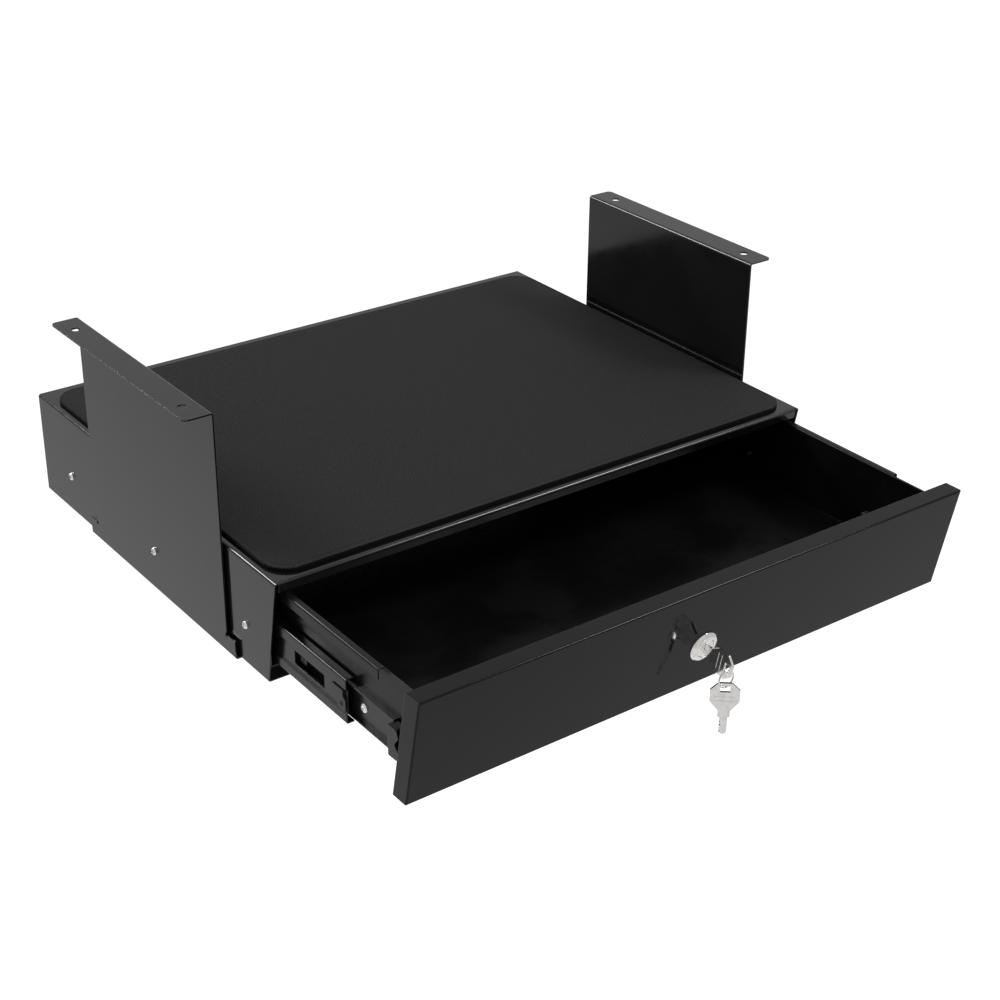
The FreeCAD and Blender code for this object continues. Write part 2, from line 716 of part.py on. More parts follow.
def end_bumper(side, sign):
    """Plastic bumper clipped in the sunk web at the middle member's front end."""
    body = new_body(f"slide_bumper_{side}", y=f"{MIDDLE_Y} + middle_front")
    high = "(middle_tall/2 - middle_band - middle_recess - 0.6)"
    middle = "-slide_drop"
    toe = ("bumper_foot", f"{middle} - {high}")
    heel = ("bumper_waist + 1", f"{middle} - {high}*0.3")
    waist = ("bumper_waist", f"{middle} + {high}*0.1")
    shoulder = ("bumper_long", f"{middle} + {high}*0.45")
    shape = [("bumper_set", f"{middle} - {high}"), toe, heel, waist, shoulder,
             ("bumper_long", f"{middle} + {high}"), ("bumper_step", f"{middle} + {high}"),
             ("bumper_step", f"{middle} + {high}*0.4"), ("bumper_set", f"{middle} + {high}*0.1")]
    pad(body, outline(new_sketch(body, "YZ_Plane", across(sign, MIDDLE_WEB)), shape), BUMPER_THICK,
        flip=sign < 0)
    soften(body, "bumper_round", edges_along(body.Tip.Shape, "x", [toe, heel, waist, shoulder]))
    pin_hole = new_sketch(body, "YZ_Plane")
    pocket(body, circle(pin_hole, "bumper_pin_in", f"{middle} - bumper_pin_drop", "rivet_shank"))
    return body


def end_stop(side, sign):
    """Plastic stop at the inner member's front end: a notched block with a tongue in the channel."""
    body = new_body(f"slide_stop_{side}", y=f"{OPEN_Y} + inner_front")
    web = across(sign, f"{SLIDE_INSIDE} - slide_sheet")
    high = f"({INNER_HALF} - slide_sheet)"
    middle = "-slide_drop"
    corners = [("-stop_long*0.8", f"{middle} - {high}"), ("-stop_long", f"{middle} - {high}*0.55"),
               ("-stop_long*0.6", middle), ("-stop_long", f"{middle} + {high}*0.55"),
               ("-stop_long*0.8", f"{middle} + {high}")]
    front = corners + [("-race_play", f"{middle} + {high}"), ("-race_play", f"{middle} - {high}")]
    pad(body, outline(new_sketch(body, "YZ_Plane", web), front), "stop_thick", flip=sign < 0)
    tongue = box_outline(new_sketch(body, "YZ_Plane", web), "-race_play", "stop_tail",
                         f"{middle} - {high}", f"{middle} + {high}")
    pad(body, tongue, "inner_rim - slide_sheet - race_play", flip=sign < 0)
    soften(body, "stop_round", edges_along(body.Tip.Shape, "x", corners))
    return body


def release_lever(side, sign):
    """Plastic lever in the inner member's channel that frees the drawer from its slide."""
    body = new_body(f"release_lever_{side}", x=across(sign, LEVER_FACE), y=LEVER_Y,
                    z=f"{CASE_Z} - slide_drop")
    eye = "(lever_eye/2)"
    arm = "(lever_arm/2)"
    grip = f"(({INNER_HALF} - slide_sheet)*0.52)"
    end = "(lever_length - lever_pin_in)"
    shape = [("-lever_eye*0.65", f"-{eye}"), ("lever_eye*0.65", f"-{eye}"), ("lever_reach", f"-{arm}"),
             (f"{end} - lever_grip*0.75", f"-{arm}"), (f"{end} - lever_grip*0.25", f"-{grip}"),
             (end, f"-{grip}"), (end, arm), ("lever_reach", arm), ("lever_eye*0.65", eye),
             ("-lever_eye*0.65", eye)]
    pad(body, outline(new_sketch(body, "YZ_Plane"), shape), "lever_thick", flip=sign < 0)
    ends = [("-lever_eye*0.65", f"-{eye}"), ("-lever_eye*0.65", eye)]
    soften(body, "lever_round", edges_along(body.Tip.Shape, "x", ends))
    pocket(body, circle(new_sketch(body, "YZ_Plane"), "0", "0", "rivet_shank + rivet_play"))
    return body


# ---- Drawer ----

def raked(offset, height):
    """Depth of the plane behind the closed front panel at a height, moved back by an offset."""
    return f"(-close_gap + ({offset}) - {SLOPE}*({height}))"


def raked_strip(front, back, low, high):
    """Outline, in the YZ plane, of a strip parallel to the raked front."""
    return [(raked(front, low), low), (raked(back, low), low), (raked(back, high), high),
            (raked(front, high), high)]


def drawer_tray():
    """Floor, sides with folded rims, and a front upstand, of one sheet."""
    body = new_body("drawer_tray", y=OPEN_Y)
    wall = TRAY_HALF
    rim = f"({wall} + tray_flange)"
    top = "(-tray_drop)"
    floor = "(-tray_floor)"
    right = [(wall, floor), (wall, f"{top} - tray_sheet"), (f"{rim} - tray_sheet", f"{top} - tray_sheet"),
             (f"{rim} - tray_sheet", f"{top} - tray_lip"), (rim, f"{top} - tray_lip"), (rim, top),
             (f"{wall} - tray_sheet", top), (f"{wall} - tray_sheet", f"{floor} + tray_sheet")]
    left = [(f"-({x})", z) for x, z in reversed(right)]
    pad(body, outline(new_sketch(body, "XZ_Plane", f"-{FACE_BACK}"), right + left),
        f"tray_back - {FACE_BACK}", flip=True)
    bend(body, "y", "tray_bend", "tray_sheet",
         outer=mirrored((wall, floor), (f"{wall} - tray_sheet", top), (rim, top)),
         inner=mirrored((f"{wall} - tray_sheet", f"{floor} + tray_sheet"), (wall, f"{top} - tray_sheet")))
    below = f"({floor} - 1)"
    waste = [(raked("tray_sheet", "0"), "0"), (raked("tray_sheet", below), below),
             (f"{FACE_BACK} - 1", below), (f"{FACE_BACK} - 1", "0")]
    pocket(body, outline(new_sketch(body, "YZ_Plane"), waste))
    upstand = raked_strip("tray_sheet", "2*tray_sheet", floor, f"{top} - wall_drop")
    pad(body, outline(new_sketch(body, "YZ_Plane"), upstand), f"2*{wall} - 2*tray_sheet - 2*tray_bend",
        both_ways=True)
    notch = new_sketch(body, "XY_Plane", "0")
    for sign in (-1, 1):
        outline(notch, [(f"{sign}*{wall}", f"{FACE_BACK} - 1"), (f"{sign}*({rim} + 1)", f"{FACE_BACK} - 1"),
                        (f"{sign}*({rim} + 1)", "tray_notch"), (f"{sign}*{wall}", "tray_notch")])
    pocket(body, notch, "tray_drop + tray_lip + 1")
    holes = new_sketch(body, "YZ_Plane")
    for step in SCREW_STEPS:
        circle(holes, f"drawer_screw_first + {step}", "-slide_drop", "screw_size + screw_play")
    pocket(body, holes)
    fixings = new_sketch(body, "XZ_Plane", "-tray_back/2")
    for x, z in front_screw_spots():
        circle(fixings, x, z, "front_hole")
    circle(fixings, "0", LOCK_HOLE_Z, "barrel + barrel_clear")
    pocket(body, fixings, "tray_back", flip=True)
    return body


def front_screw_spots():
    """Where the tray's upstand is screwed to the panel's hems."""
    high = "(-panel_drop - hem_high + front_screw_drop)"
    low = "(-tray_floor + front_screw_rise)"
    return [(f"{sign}*front_screw_out", z) for z in (high, low) for sign in (-1, 1)]


def drawer_back():
    """Back wall of the drawer, its flanges turned forward inside the tray."""
    body = new_body("drawer_back", y=OPEN_Y)
    half = f"({TRAY_HALF} - tray_sheet)"
    low = "(-tray_floor + tray_sheet)"
    high = "(-tray_drop - wall_drop)"
    pad(body, box_outline(new_sketch(body, "XZ_Plane", "-tray_back"), f"-{half}", half, low, high),
        "back_flange")
    soften(body, "tray_bend", edges_along(body.Tip.Shape, "y", mirrored((half, low))))
    hollow = box_outline(new_sketch(body, "XZ_Plane", "-tray_back + back_flange"),
                         f"-{half} + tray_sheet", f"{half} - tray_sheet",
                         f"{low} + tray_sheet", f"{high} - tray_sheet")
    pocket(body, hollow, "back_flange - tray_sheet")
    return body


def drawer_inner_front():
    """Flat sheet that closes the back of the front panel."""
    body = new_body("drawer_inner_front", y=OPEN_Y)
    low = "(-panel_drop - panel_tall + panel_sheet + backing_drop)"
    high = "(-tray_drop - wall_drop + backing_rise)"
    pad(body, outline(new_sketch(body, "YZ_Plane"), raked_strip("0", "tray_sheet", low, high)),
        f"2*{TRAY_HALF}", both_ways=True)
    cut_front_holes(body)
    return body


def cut_front_holes(body):
    """Holes for the barrel of the lock and for the front's screws."""
    holes = new_sketch(body, "XZ_Plane")
    for x, z in front_screw_spots():
        circle(holes, x, z, "front_hole")
    circle(holes, "0", LOCK_HOLE_Z, "barrel + barrel_clear")
    pocket(body, holes)


def drawer_front_panel():
    """Front panel: a raked skin with returns on all four sides and hems along its back."""
    body = new_body("drawer_front_panel", y=OPEN_Y)
    low = "(-panel_drop - panel_tall)"
    high = "(-panel_drop)"
    pad(body, outline(new_sketch(body, "YZ_Plane"), raked_strip("-panel_deep", "0", low, high)),
        "case_wide", both_ways=True)
    upright = [name for sign in (1, -1)
               for name in front_edges(body.Tip.Shape, value(f"{sign}*{HALF}"))]
    level = edges_along(body.Tip.Shape, "x", [
        (raked("-panel_deep", high), high), (raked("-panel_deep", low), low)])
    soften(body, "panel_edge", upright + level)
    hollow = raked_strip("-panel_deep + panel_sheet", "1", f"({low} + panel_sheet)",
                         f"({high} - panel_sheet)")
    cut = body.newObject("PartDesign::Pocket", "drawer_front_panel_hollow")
    cut.Profile = outline(new_sketch(body, "YZ_Plane"), hollow)
    cut.SideType = "Symmetric"
    drive(cut, Length="case_wide - 2*panel_sheet")
    doc.recompute()
    for edge_low, edge_high in ((f"({low} + panel_sheet)", f"({low} + hem_low)"),
                                (f"({high} - hem_high)", f"({high} - panel_sheet)")):
        hem = raked_strip("-panel_sheet", "0", edge_low, edge_high)
        pad(body, outline(new_sketch(body, "YZ_Plane"), hem), f"2*{TRAY_HALF}", both_ways=True)
    pocket(body, circle(new_sketch(body, "XZ_Plane"), "0", "-lock_drop", "barrel + barrel_play"))
    threads = new_sketch(body, "XZ_Plane", "-rake")
    for x, z in front_screw_spots():
        circle(threads, x, z, "front_hole")
    pocket(body, threads, "rake + close_gap", flip=True)
    return body


def front_edges(shape, x):
    """Name the upright front edges of the panel that lie at one side."""
    names = []
    for index, edge in enumerate(shape.Edges, 1):
        box = edge.BoundBox
        middle = (box.YMin + box.YMax) / 2
        goal = value(raked("-panel_deep", "-panel_drop - panel_tall/2"))
        if abs(box.XMin - x) < 1e-3 and abs(box.XMax - x) < 1e-3 and box.ZLength > value("panel_tall") - 1:
            if abs(middle - goal) < 0.5:
                names.append(f"Edge{index}")
    return names


# ---- Lock: drawn with +Z out of the panel and +Y up its face ----

FACE_Y = f"({OPEN_Y} - close_gap - panel_deep + {SLOPE}*lock_drop)"
FACE_Z = "(-desk_gap - lock_drop)"
ON_FACE = {"y": FACE_Y, "z": FACE_Z, "axis": (1, 0, 0), "angle": f"90 deg + {TILT}"}


def lock_housing():
    """Threaded barrel with a domed rosette, bored for the plug."""
    body = new_body("lock_housing", **ON_FACE)
    bore = "(plug/2 + plug_play)"
    seat = "(plug_head/2 + plug_play)"
    floor = "(rosette_tall - plug_seat)"
    profile = [("rosette/2", "0"), ("rosette/2", "rosette_tall*0.28"),
               ("rosette/2 - rosette_step", "rosette_tall*0.68"),
               ("rosette/2 - rosette_crown", "rosette_tall"), (seat, "rosette_tall"), (seat, floor),
               (bore, floor), (bore, "-barrel_long"), ("barrel/2", "-barrel_long"), ("barrel/2", "0")]
    revolve(body, outline(new_sketch(body, "XZ_Plane"), profile))
    return body


def lock_nut():
    """Hexagon nut that holds the barrel behind the panel's skin."""
    body = new_body("lock_nut", **ON_FACE)
    reach = "(nut_flats/2/cos(30))"
    corners = [(f"{reach}*cos({60 * k})", f"{reach}*sin({60 * k})") for k in range(6)]
    sketch = outline(new_sketch(body, "XY_Plane", "-panel_sheet"), corners)
    pad(body, sketch, "nut_thick", flip=True)
    pocket(body, circle(new_sketch(body, "XY_Plane"), "0", "0", "barrel + thread_play"))
    return body


def lock_plug():
    """Turning plug: keyway in its face, a square tail for the cam."""
    body = new_body("lock_plug", **ON_FACE)
    tail = f"({CAM_FRONT} - cam_thick)"
    under = "(rosette_tall - plug_seat + thread_play)"
    profile = [("0", CAM_FRONT), ("plug/2", CAM_FRONT), ("plug/2", under), ("plug_head/2", under),
               ("plug_head/2", f"{PLUG_FACE} - plug_bevel"), ("plug_head/2 - plug_bevel", PLUG_FACE),
               ("0", PLUG_FACE)]
    revolve(body, outline(new_sketch(body, "XZ_Plane"), profile))
    side = "cam_square/2"
    pad(body, box_outline(new_sketch(body, "XY_Plane", CAM_FRONT), f"-{side}", side, f"-{side}", side),
        f"{CAM_FRONT} - {tail}", flip=True)
    keyway = box_outline(new_sketch(body, "XY_Plane", PLUG_FACE), "-key_thick/2 - key_play",
                         "key_thick/2 + key_play", "-key_blade/2 - key_play", "key_blade/2 + key_play")
    pocket(body, keyway, "key_reach + key_room")
    thread = circle(new_sketch(body, "XY_Plane", tail), "0", "0", "screw_size + thread_play")
    pocket(body, thread, "cam_screw + plug_bevel", flip=True)
    return body


def lock_cam():
    """Flat cam: it lies to the left when unlocked and points up behind the case's lip when locked."""
    body = new_body("lock_cam", **ON_FACE)
    half = "cam_wide/2"
    plate = box_outline(new_sketch(body, "XY_Plane", CAM_FRONT), "-cam_long", half, f"-{half}", half)
    pad(body, plate, "cam_thick", flip=True)
    corners = [(x, f"{end}{half}") for x in ("-cam_long", half) for end in ("", "-")]
    soften(body, f"{half} - 0.5", edges_along(body.Tip.Shape, "z", corners))
    side = "(cam_square/2 + race_play)"
    pocket(body, box_outline(new_sketch(body, "XY_Plane"), f"-{side}", side, f"-{side}", side))
    return body


# ---- Keys: drawn flat in the YZ plane, blade down, shoulder at Z = 0 ----

def key_outline():
    """Half of a key's outline after the other: bitted blade, neck and hexagonal head."""
    head = "(key_head/2)"
    foot = "key_shoulder"
    top = "(key_shoulder + key_head)"
    blade = "(key_blade/2)"
    neck = "(key_neck/2)"
    bits = []
    for index, depth in enumerate(("0.9", "0.4", "1.2", "0.7")):
        base = f"-key_reach + {3 + 3 * index}"
        bits += [(blade, f"{base} - 1.1"), (f"{blade} - {depth}", f"{base} - 0.4"),
                 (f"{blade} - {depth}", f"{base} + 0.4"), (blade, f"{base} + 1.1")]
    right = [(f"{blade}*0.45", "-key_reach")] + bits + [
        (blade, "0"), (neck, "0"), (neck, f"{foot} - 2"), (head, f"{foot} + key_head*0.28"),
        (head, f"{top} - key_head*0.27"), (f"{head}*0.46", top)]
    left = [(f"-{head}*0.46", top), (f"-{head}", f"{top} - key_head*0.27"),
            (f"-{head}", f"{foot} + key_head*0.28"), (f"-{neck}", f"{foot} - 2"), (f"-{neck}", "0"),
            (f"-{blade}", "0"), (f"-{blade}", "-key_reach + 2"), (f"-{blade}*0.45", "-key_reach")]
    return right + left


def key(label, **place):
    """Key of flat bar: outline, ring slot, a groove along the blade and a panel sunk in the head."""
    body = new_body(label, **place)
    pad(body, outline(new_sketch(body, "YZ_Plane"), key_outline()), "key_thick", both_ways=True)
    slot_high = "(key_shoulder + key_head - key_rim)"
    slot = box_outline(new_sketch(body, "YZ_Plane"), "-key_slot_wide/2", "key_slot_wide/2",
                       f"{slot_high} - key_slot_tall", slot_high)
    pocket(body, slot)
    for sign in (-1, 1):
        face = f"{sign}*key_thick/2"
        marks = new_sketch(body, "YZ_Plane", face)
        box_outline(marks, "-key_head*0.34", "key_head*0.34", "key_shoulder + key_head*0.30",
                    "key_shoulder + key_head*0.34")
        box_outline(marks, "-key_head*0.34", "key_head*0.34", "key_shoulder + key_head*0.46",
                    "key_shoulder + key_head*0.50")
        box_outline(marks, "-0.5", "0.5", "-key_reach + 3", "3")
        pocket(body, marks, "key_mark", flip=sign < 0)
    return body


HANG_DOWN = "(key_slot_wide/2 - ring_wire/2 - ring_play)"
HANG_OUT = f"({PLUG_FACE} + key_stand + key_shoulder + key_head - key_rim - key_slot_tall/2)"
RING_TOP_Y = f"({FACE_Y} + {HANG_DOWN}*sin({TILT}) - {HANG_OUT}*cos({TILT}))"
RING_TOP_Z = f"({FACE_Z} - {HANG_DOWN}*cos({TILT}) - {HANG_OUT}*sin({TILT}))"
RING_DROP = "(ring_size - ring_wire)"
SPARE_HOOK = "(key_shoulder + key_head - key_rim - ring_wire/2 - 2*ring_play)"


def keys_and_ring():
    """One key in the lock, a split ring through it and the spare key hanging from the ring."""
    shoulder = f"({PLUG_FACE} + key_stand)"
    key("key_in_lock", y=f"{FACE_Y} - {shoulder}*cos({TILT})", z=f"{FACE_Z} - {shoulder}*sin({TILT})",
        axis=(1, 0, 0), angle=f"90 deg + {TILT}")
    ring = doc.addObject("Part::Torus", "key_ring")
    drive(ring, Radius1=f"{RING_DROP}/2", Radius2="ring_wire/2")
    locate(ring, y=RING_TOP_Y, z=f"{RING_TOP_Z} - {RING_DROP}/2", axis=(1, 0, 0), angle="90")
    sub_part(ring, "key_ring")
    key("key_spare", y=RING_TOP_Y, z=f"{RING_TOP_Z} - {RING_DROP} - {SPARE_HOOK}",
        axis=(0, 0, 1), angle="spare_turn")


# ---- Screws and rivets in their places ----

def fasteners():
    """All screws and rivets, in groups of identical ones."""
    pan = screw_master("pan_screw", "pan_head", "pan_tall", "case_sheet + slide_sheet")
    pan_long = screw_master("pan_screw_long", "pan_head", "pan_tall",
                            "bracket_sheet + bracket_gap + case_sheet + slide_sheet")
    for side, sign in SIDES:
        turned = {"axis": (0, 1, 0), "angle": f"{sign}*90"}
        ends = [(f"{sign}*{HALF}", f"{CASE_Y} + case_screw_first + {step}", f"{CASE_Z} - slide_drop")
                for step in (SCREW_STEPS[0], SCREW_STEPS[2])]
        group(f"case_screws_{side}", pan, ends, **turned)
        middle = [(f"{sign}*({HALF} + bracket_gap + bracket_sheet)",
                   f"{CASE_Y} + case_screw_first + {SCREW_STEPS[1]}", f"{CASE_Z} - slide_drop")]
        group(f"bracket_screw_{side}", pan_long, middle, **turned)
    slide_screw = screw_master("slide_screw", "flat_head", "flat_tall", "slide_sheet + tray_sheet + flat_end")
    for side, sign in SIDES:
        spots = [(across(sign, f"{SLIDE_INSIDE} - slide_sheet"),
                  f"{OPEN_Y} + drawer_screw_first + {step}", f"{CASE_Z} - slide_drop")
                 for step in SCREW_STEPS]
        group(f"drawer_screws_{side}", slide_screw, spots, axis=(0, 1, 0), angle=f"{sign}*90")
    foot_screw = screw_master("foot_screw", "pan_head", "pan_tall", "bracket_sheet + case_sheet + screw_end")
    feet = [(x, f"{CASE_Y} + {y}", f"{CASE_Z} - case_tall - bracket_sheet") for x, y in foot_screw_spots()]
    group("foot_screws", foot_screw, feet, axis=(1, 0, 0), angle="180")
    front_screw = screw_master("front_screw", "pan_head", "pan_tall",
                               "2*tray_sheet + panel_sheet + screw_end")
    fronts = [(x, f"{OPEN_Y} + {raked('2*tray_sheet', z)}", f"{CASE_Z} + {z}")
              for x, z in front_screw_spots()]
    group("front_screws", front_screw, fronts, axis=(1, 0, 0), angle=f"-90 deg + {TILT}")
    lever_pin = rivet_master("lever_pin_master", "lever_thick + lever_play + slide_sheet")
    bumper_pin = rivet_master("bumper_pin_master", BUMPER_THICK)
    for side, sign in SIDES:
        spot = [(across(sign, f"{LEVER_FACE} - lever_thick"), LEVER_Y, f"{CASE_Z} - slide_drop")]
        group(f"lever_pin_{side}", lever_pin, spot, axis=(0, 1, 0), angle=f"{sign}*90")
        spot = [(across(sign, f"{MIDDLE_WEB} - {BUMPER_THICK}"),
                 f"{MIDDLE_Y} + middle_front + bumper_pin_in", f"{CASE_Z} - slide_drop - bumper_pin_drop")]
        group(f"bumper_pin_{side}", bumper_pin, spot, axis=(0, 1, 0), angle=f"{sign}*90")
    cam_screw = screw_master("cam_screw_master", "cam_head", "pan_tall", "cam_screw")
    tail = f"({CAM_FRONT} - cam_thick)"
    seat = ("0", f"{FACE_Y} - {tail}*cos({TILT})", f"{FACE_Z} - {tail}*sin({TILT})")
    group("cam_screw", cam_screw, [seat], axis=(1, 0, 0), angle=f"-90 deg + {TILT}")


def check_and_write():
    """Stop if any object failed, then write each sub-part to its own file."""
    doc.recompute()
    faults = [item.Name for item in doc.Objects if {"Invalid", "Error"} & set(item.State)]
    faults += [item.Label for item in SUB_PARTS if item.Shape.isNull() or not item.Shape.isValid()]
    if faults:
        raise RuntimeError("failed: " + ", ".join(faults))
    os.makedirs("parts", exist_ok=True)
    for item in SUB_PARTS:
        item.Shape.exportStep(f"parts/{item.Label}.step")


case_shell()
case_back()
desk_mat()
for side_name, side_sign in SIDES:
    bracket(side_name, side_sign)
    slide_outer(side_name, side_sign)
    slide_middle(side_name, side_sign)
    slide_inner(side_name, side_sign)
    cages_and_balls(side_name, side_sign)
    end_bumper(side_name, side_sign)
    end_stop(side_name, side_sign)
    release_lever(side_name, side_sign)
drawer_tray()
drawer_back()
drawer_inner_front()
drawer_front_panel()
lock_housing()
lock_nut()
lock_plug()
lock_cam()
keys_and_ring()
fasteners()
check_and_write()
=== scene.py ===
"""Finishes, mat, key ring, lights and camera for the lockable under desk drawer.

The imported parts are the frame: their shapes and places stay as they are. This script gives each of
them a finish, models the woven mat and the split key ring, and sets up a plain studio.
All lengths are in metres. +X is to the user's right, +Y goes under the desk and +Z is up.
"""
from __future__ import annotations

import logging
import math
from dataclasses import dataclass
from enum import Enum

import bmesh
import bpy
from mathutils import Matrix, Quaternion, Vector


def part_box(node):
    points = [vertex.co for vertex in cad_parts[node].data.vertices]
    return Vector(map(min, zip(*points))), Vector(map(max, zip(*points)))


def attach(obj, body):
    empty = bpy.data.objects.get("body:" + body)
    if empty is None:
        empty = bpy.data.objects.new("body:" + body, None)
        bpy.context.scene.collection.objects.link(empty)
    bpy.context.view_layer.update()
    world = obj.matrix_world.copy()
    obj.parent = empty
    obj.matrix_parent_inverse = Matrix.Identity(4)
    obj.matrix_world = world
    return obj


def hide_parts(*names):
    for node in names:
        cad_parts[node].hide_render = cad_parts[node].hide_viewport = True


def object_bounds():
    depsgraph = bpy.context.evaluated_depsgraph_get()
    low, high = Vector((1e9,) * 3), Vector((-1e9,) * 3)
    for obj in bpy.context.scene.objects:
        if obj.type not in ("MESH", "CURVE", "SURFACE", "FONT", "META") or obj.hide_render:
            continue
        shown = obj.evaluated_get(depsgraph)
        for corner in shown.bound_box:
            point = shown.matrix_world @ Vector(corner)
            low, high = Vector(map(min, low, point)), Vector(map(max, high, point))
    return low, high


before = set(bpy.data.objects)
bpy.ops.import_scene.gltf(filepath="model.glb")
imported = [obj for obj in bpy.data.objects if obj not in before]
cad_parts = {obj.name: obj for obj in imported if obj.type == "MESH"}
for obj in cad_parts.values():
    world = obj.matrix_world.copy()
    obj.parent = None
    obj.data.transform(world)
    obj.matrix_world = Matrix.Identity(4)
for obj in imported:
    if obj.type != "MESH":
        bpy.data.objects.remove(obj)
CAD_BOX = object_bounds()

MM = 0.001
Colour = tuple[float, float, float]

log = logging.getLogger("under_desk_drawer")


class Slot(Enum):
    """Material slots of the record."""

    BLACK_STEEL = "black_steel"
    MAT_FABRIC = "mat_fabric"
    SLIDE_STEEL = "slide_steel"
    CAGE_STEEL = "cage_steel"
    BALL_STEEL = "ball_steel"
    BLACK_PLASTIC = "black_plastic"
    ZINC = "zinc"
    NICKEL = "nickel"


class Look(Enum):
    """Finishes: most share a slot's name, the drawer's panel has a coat of its own, and the tray has a
    darker copy of the black coat as painted shade.
    """

    BLACK_STEEL = "black_steel"
    PANEL_GLOSS = "panel_gloss"
    TRAY_SATIN_SHADED = "tray_satin_shaded"
    MAT_FABRIC = "mat_fabric"
    SLIDE_STEEL = "slide_steel"
    CAGE_STEEL = "cage_steel"
    BALL_STEEL = "ball_steel"
    BLACK_PLASTIC = "black_plastic"
    ZINC = "zinc"
    NICKEL = "nickel"


# ---- Shader nodes ----

EDGE_TURN = (0.01, 0.22)
MOTTLE_RATE = 14.0
SPECK_RATIO = 1.7
HAZE_RATE = 260.0
DRIFT_RATE = 60.0
DRIFT_TURN = 1.4
FLUFF_RATE = 2600.0


class NodeSheet:
    """A node tree with short calls for adding nodes and links."""

    def __init__(self, tree: bpy.types.NodeTree) -> None:
        """Wrap a node tree.

        Args:
            tree: The tree that the nodes go into.
        """
        self.tree = tree

    def add(self, kind: str, **settings: object) -> bpy.types.Node:
        """Add a node.

        Args:
            kind: Type name of the node, without the ShaderNode prefix.
            settings: Properties of the node itself.

        Returns:
            The new node.
        """
        prefix = "" if kind.startswith("Node") else "ShaderNode"
        node = self.tree.nodes.new(prefix + kind)
        for name, setting in settings.items():
            setattr(node, name, setting)
        return node

    def link(self, source: bpy.types.NodeSocket, target: bpy.types.NodeSocket) -> None:
        """Join an output to an input."""
        self.tree.links.new(source, target)

    def feed(self, term: object, target: bpy.types.NodeSocket) -> None:
        """Give an input its value.

        Args:
            term: A socket to link, or the value itself.
            target: The input.
        """
        if isinstance(term, bpy.types.NodeSocket):
            self.link(term, target)
        else:
            target.default_value = term

    def noise(self, vector: bpy.types.NodeSocket, scale: object, detail: float = 2.0,
              roughness: float = 0.5) -> bpy.types.NodeSocket:
        """Add a noise texture.

        Args:
            vector: Where the noise is read.
            scale: How fine it is, as a socket or a number.
            detail: How many finer layers it has.
            roughness: How strong the finer layers are.

        Returns:
            The noise, from 0 to 1.
        """
        node = self.add("TexNoise")
        self.link(vector, node.inputs["Vector"])
        self.feed(scale, node.inputs["Scale"])
        node.inputs["Detail"].default_value = detail
        node.inputs["Roughness"].default_value = roughness
        return node.outputs["Fac"]

    def math(self, operation: str, first: object, second: object = 0.0) -> bpy.types.NodeSocket:
        """Add a maths node.

        Args:
            operation: Name of the operation.
            first: A socket or a number.
            second: A socket or a number.

        Returns:
            The node's output.
        """
        node = self.add("Math", operation=operation)
        for socket, term in zip(node.inputs, (first, second)):
            self.feed(term, socket)
        return node.outputs[0]

    def remap(self, source: bpy.types.NodeSocket, low: float, high: float,
              to_low: float = 0.0, to_high: float = 1.0) -> bpy.types.NodeSocket:
        """Stretch a range of a value onto another range, clamped.

        Args:
            source: The value.
            low: Value that becomes to_low.
            high: Value that becomes to_high.
            to_low: Lower end of the result.
            to_high: Upper end of the result.

        Returns:
            The stretched value.
        """
        node = self.add("MapRange", interpolation_type="SMOOTHSTEP")
        self.link(source, node.inputs["Value"])
        node.inputs["From Min"].default_value = low
        node.inputs["From Max"].default_value = high
        node.inputs["To Min"].default_value = to_low
        node.inputs["To Max"].default_value = to_high
        return node.outputs["Result"]

    def mix(self, share: object, first: object, second: object,
            blend: str = "MIX") -> bpy.types.NodeSocket:
        """Mix two colours.

        Args:
            share: How much of the second colour there is, as a socket or a number.
            first: Colour where the share is 0, as a socket or its three numbers.
            second: Colour where the share is 1, as a socket or its three numbers.
            blend: How the second colour is laid over the first.

        Returns:
            The mixed colour.
        """
        node = self.add("Mix", data_type="RGBA", blend_type=blend)
        self.feed(share, node.inputs["Factor"])
        for name, colour in (("A", first), ("B", second)):
            self.feed((*colour, 1.0) if isinstance(colour, tuple) else colour, node.inputs[name])
        return node.outputs["Result"]


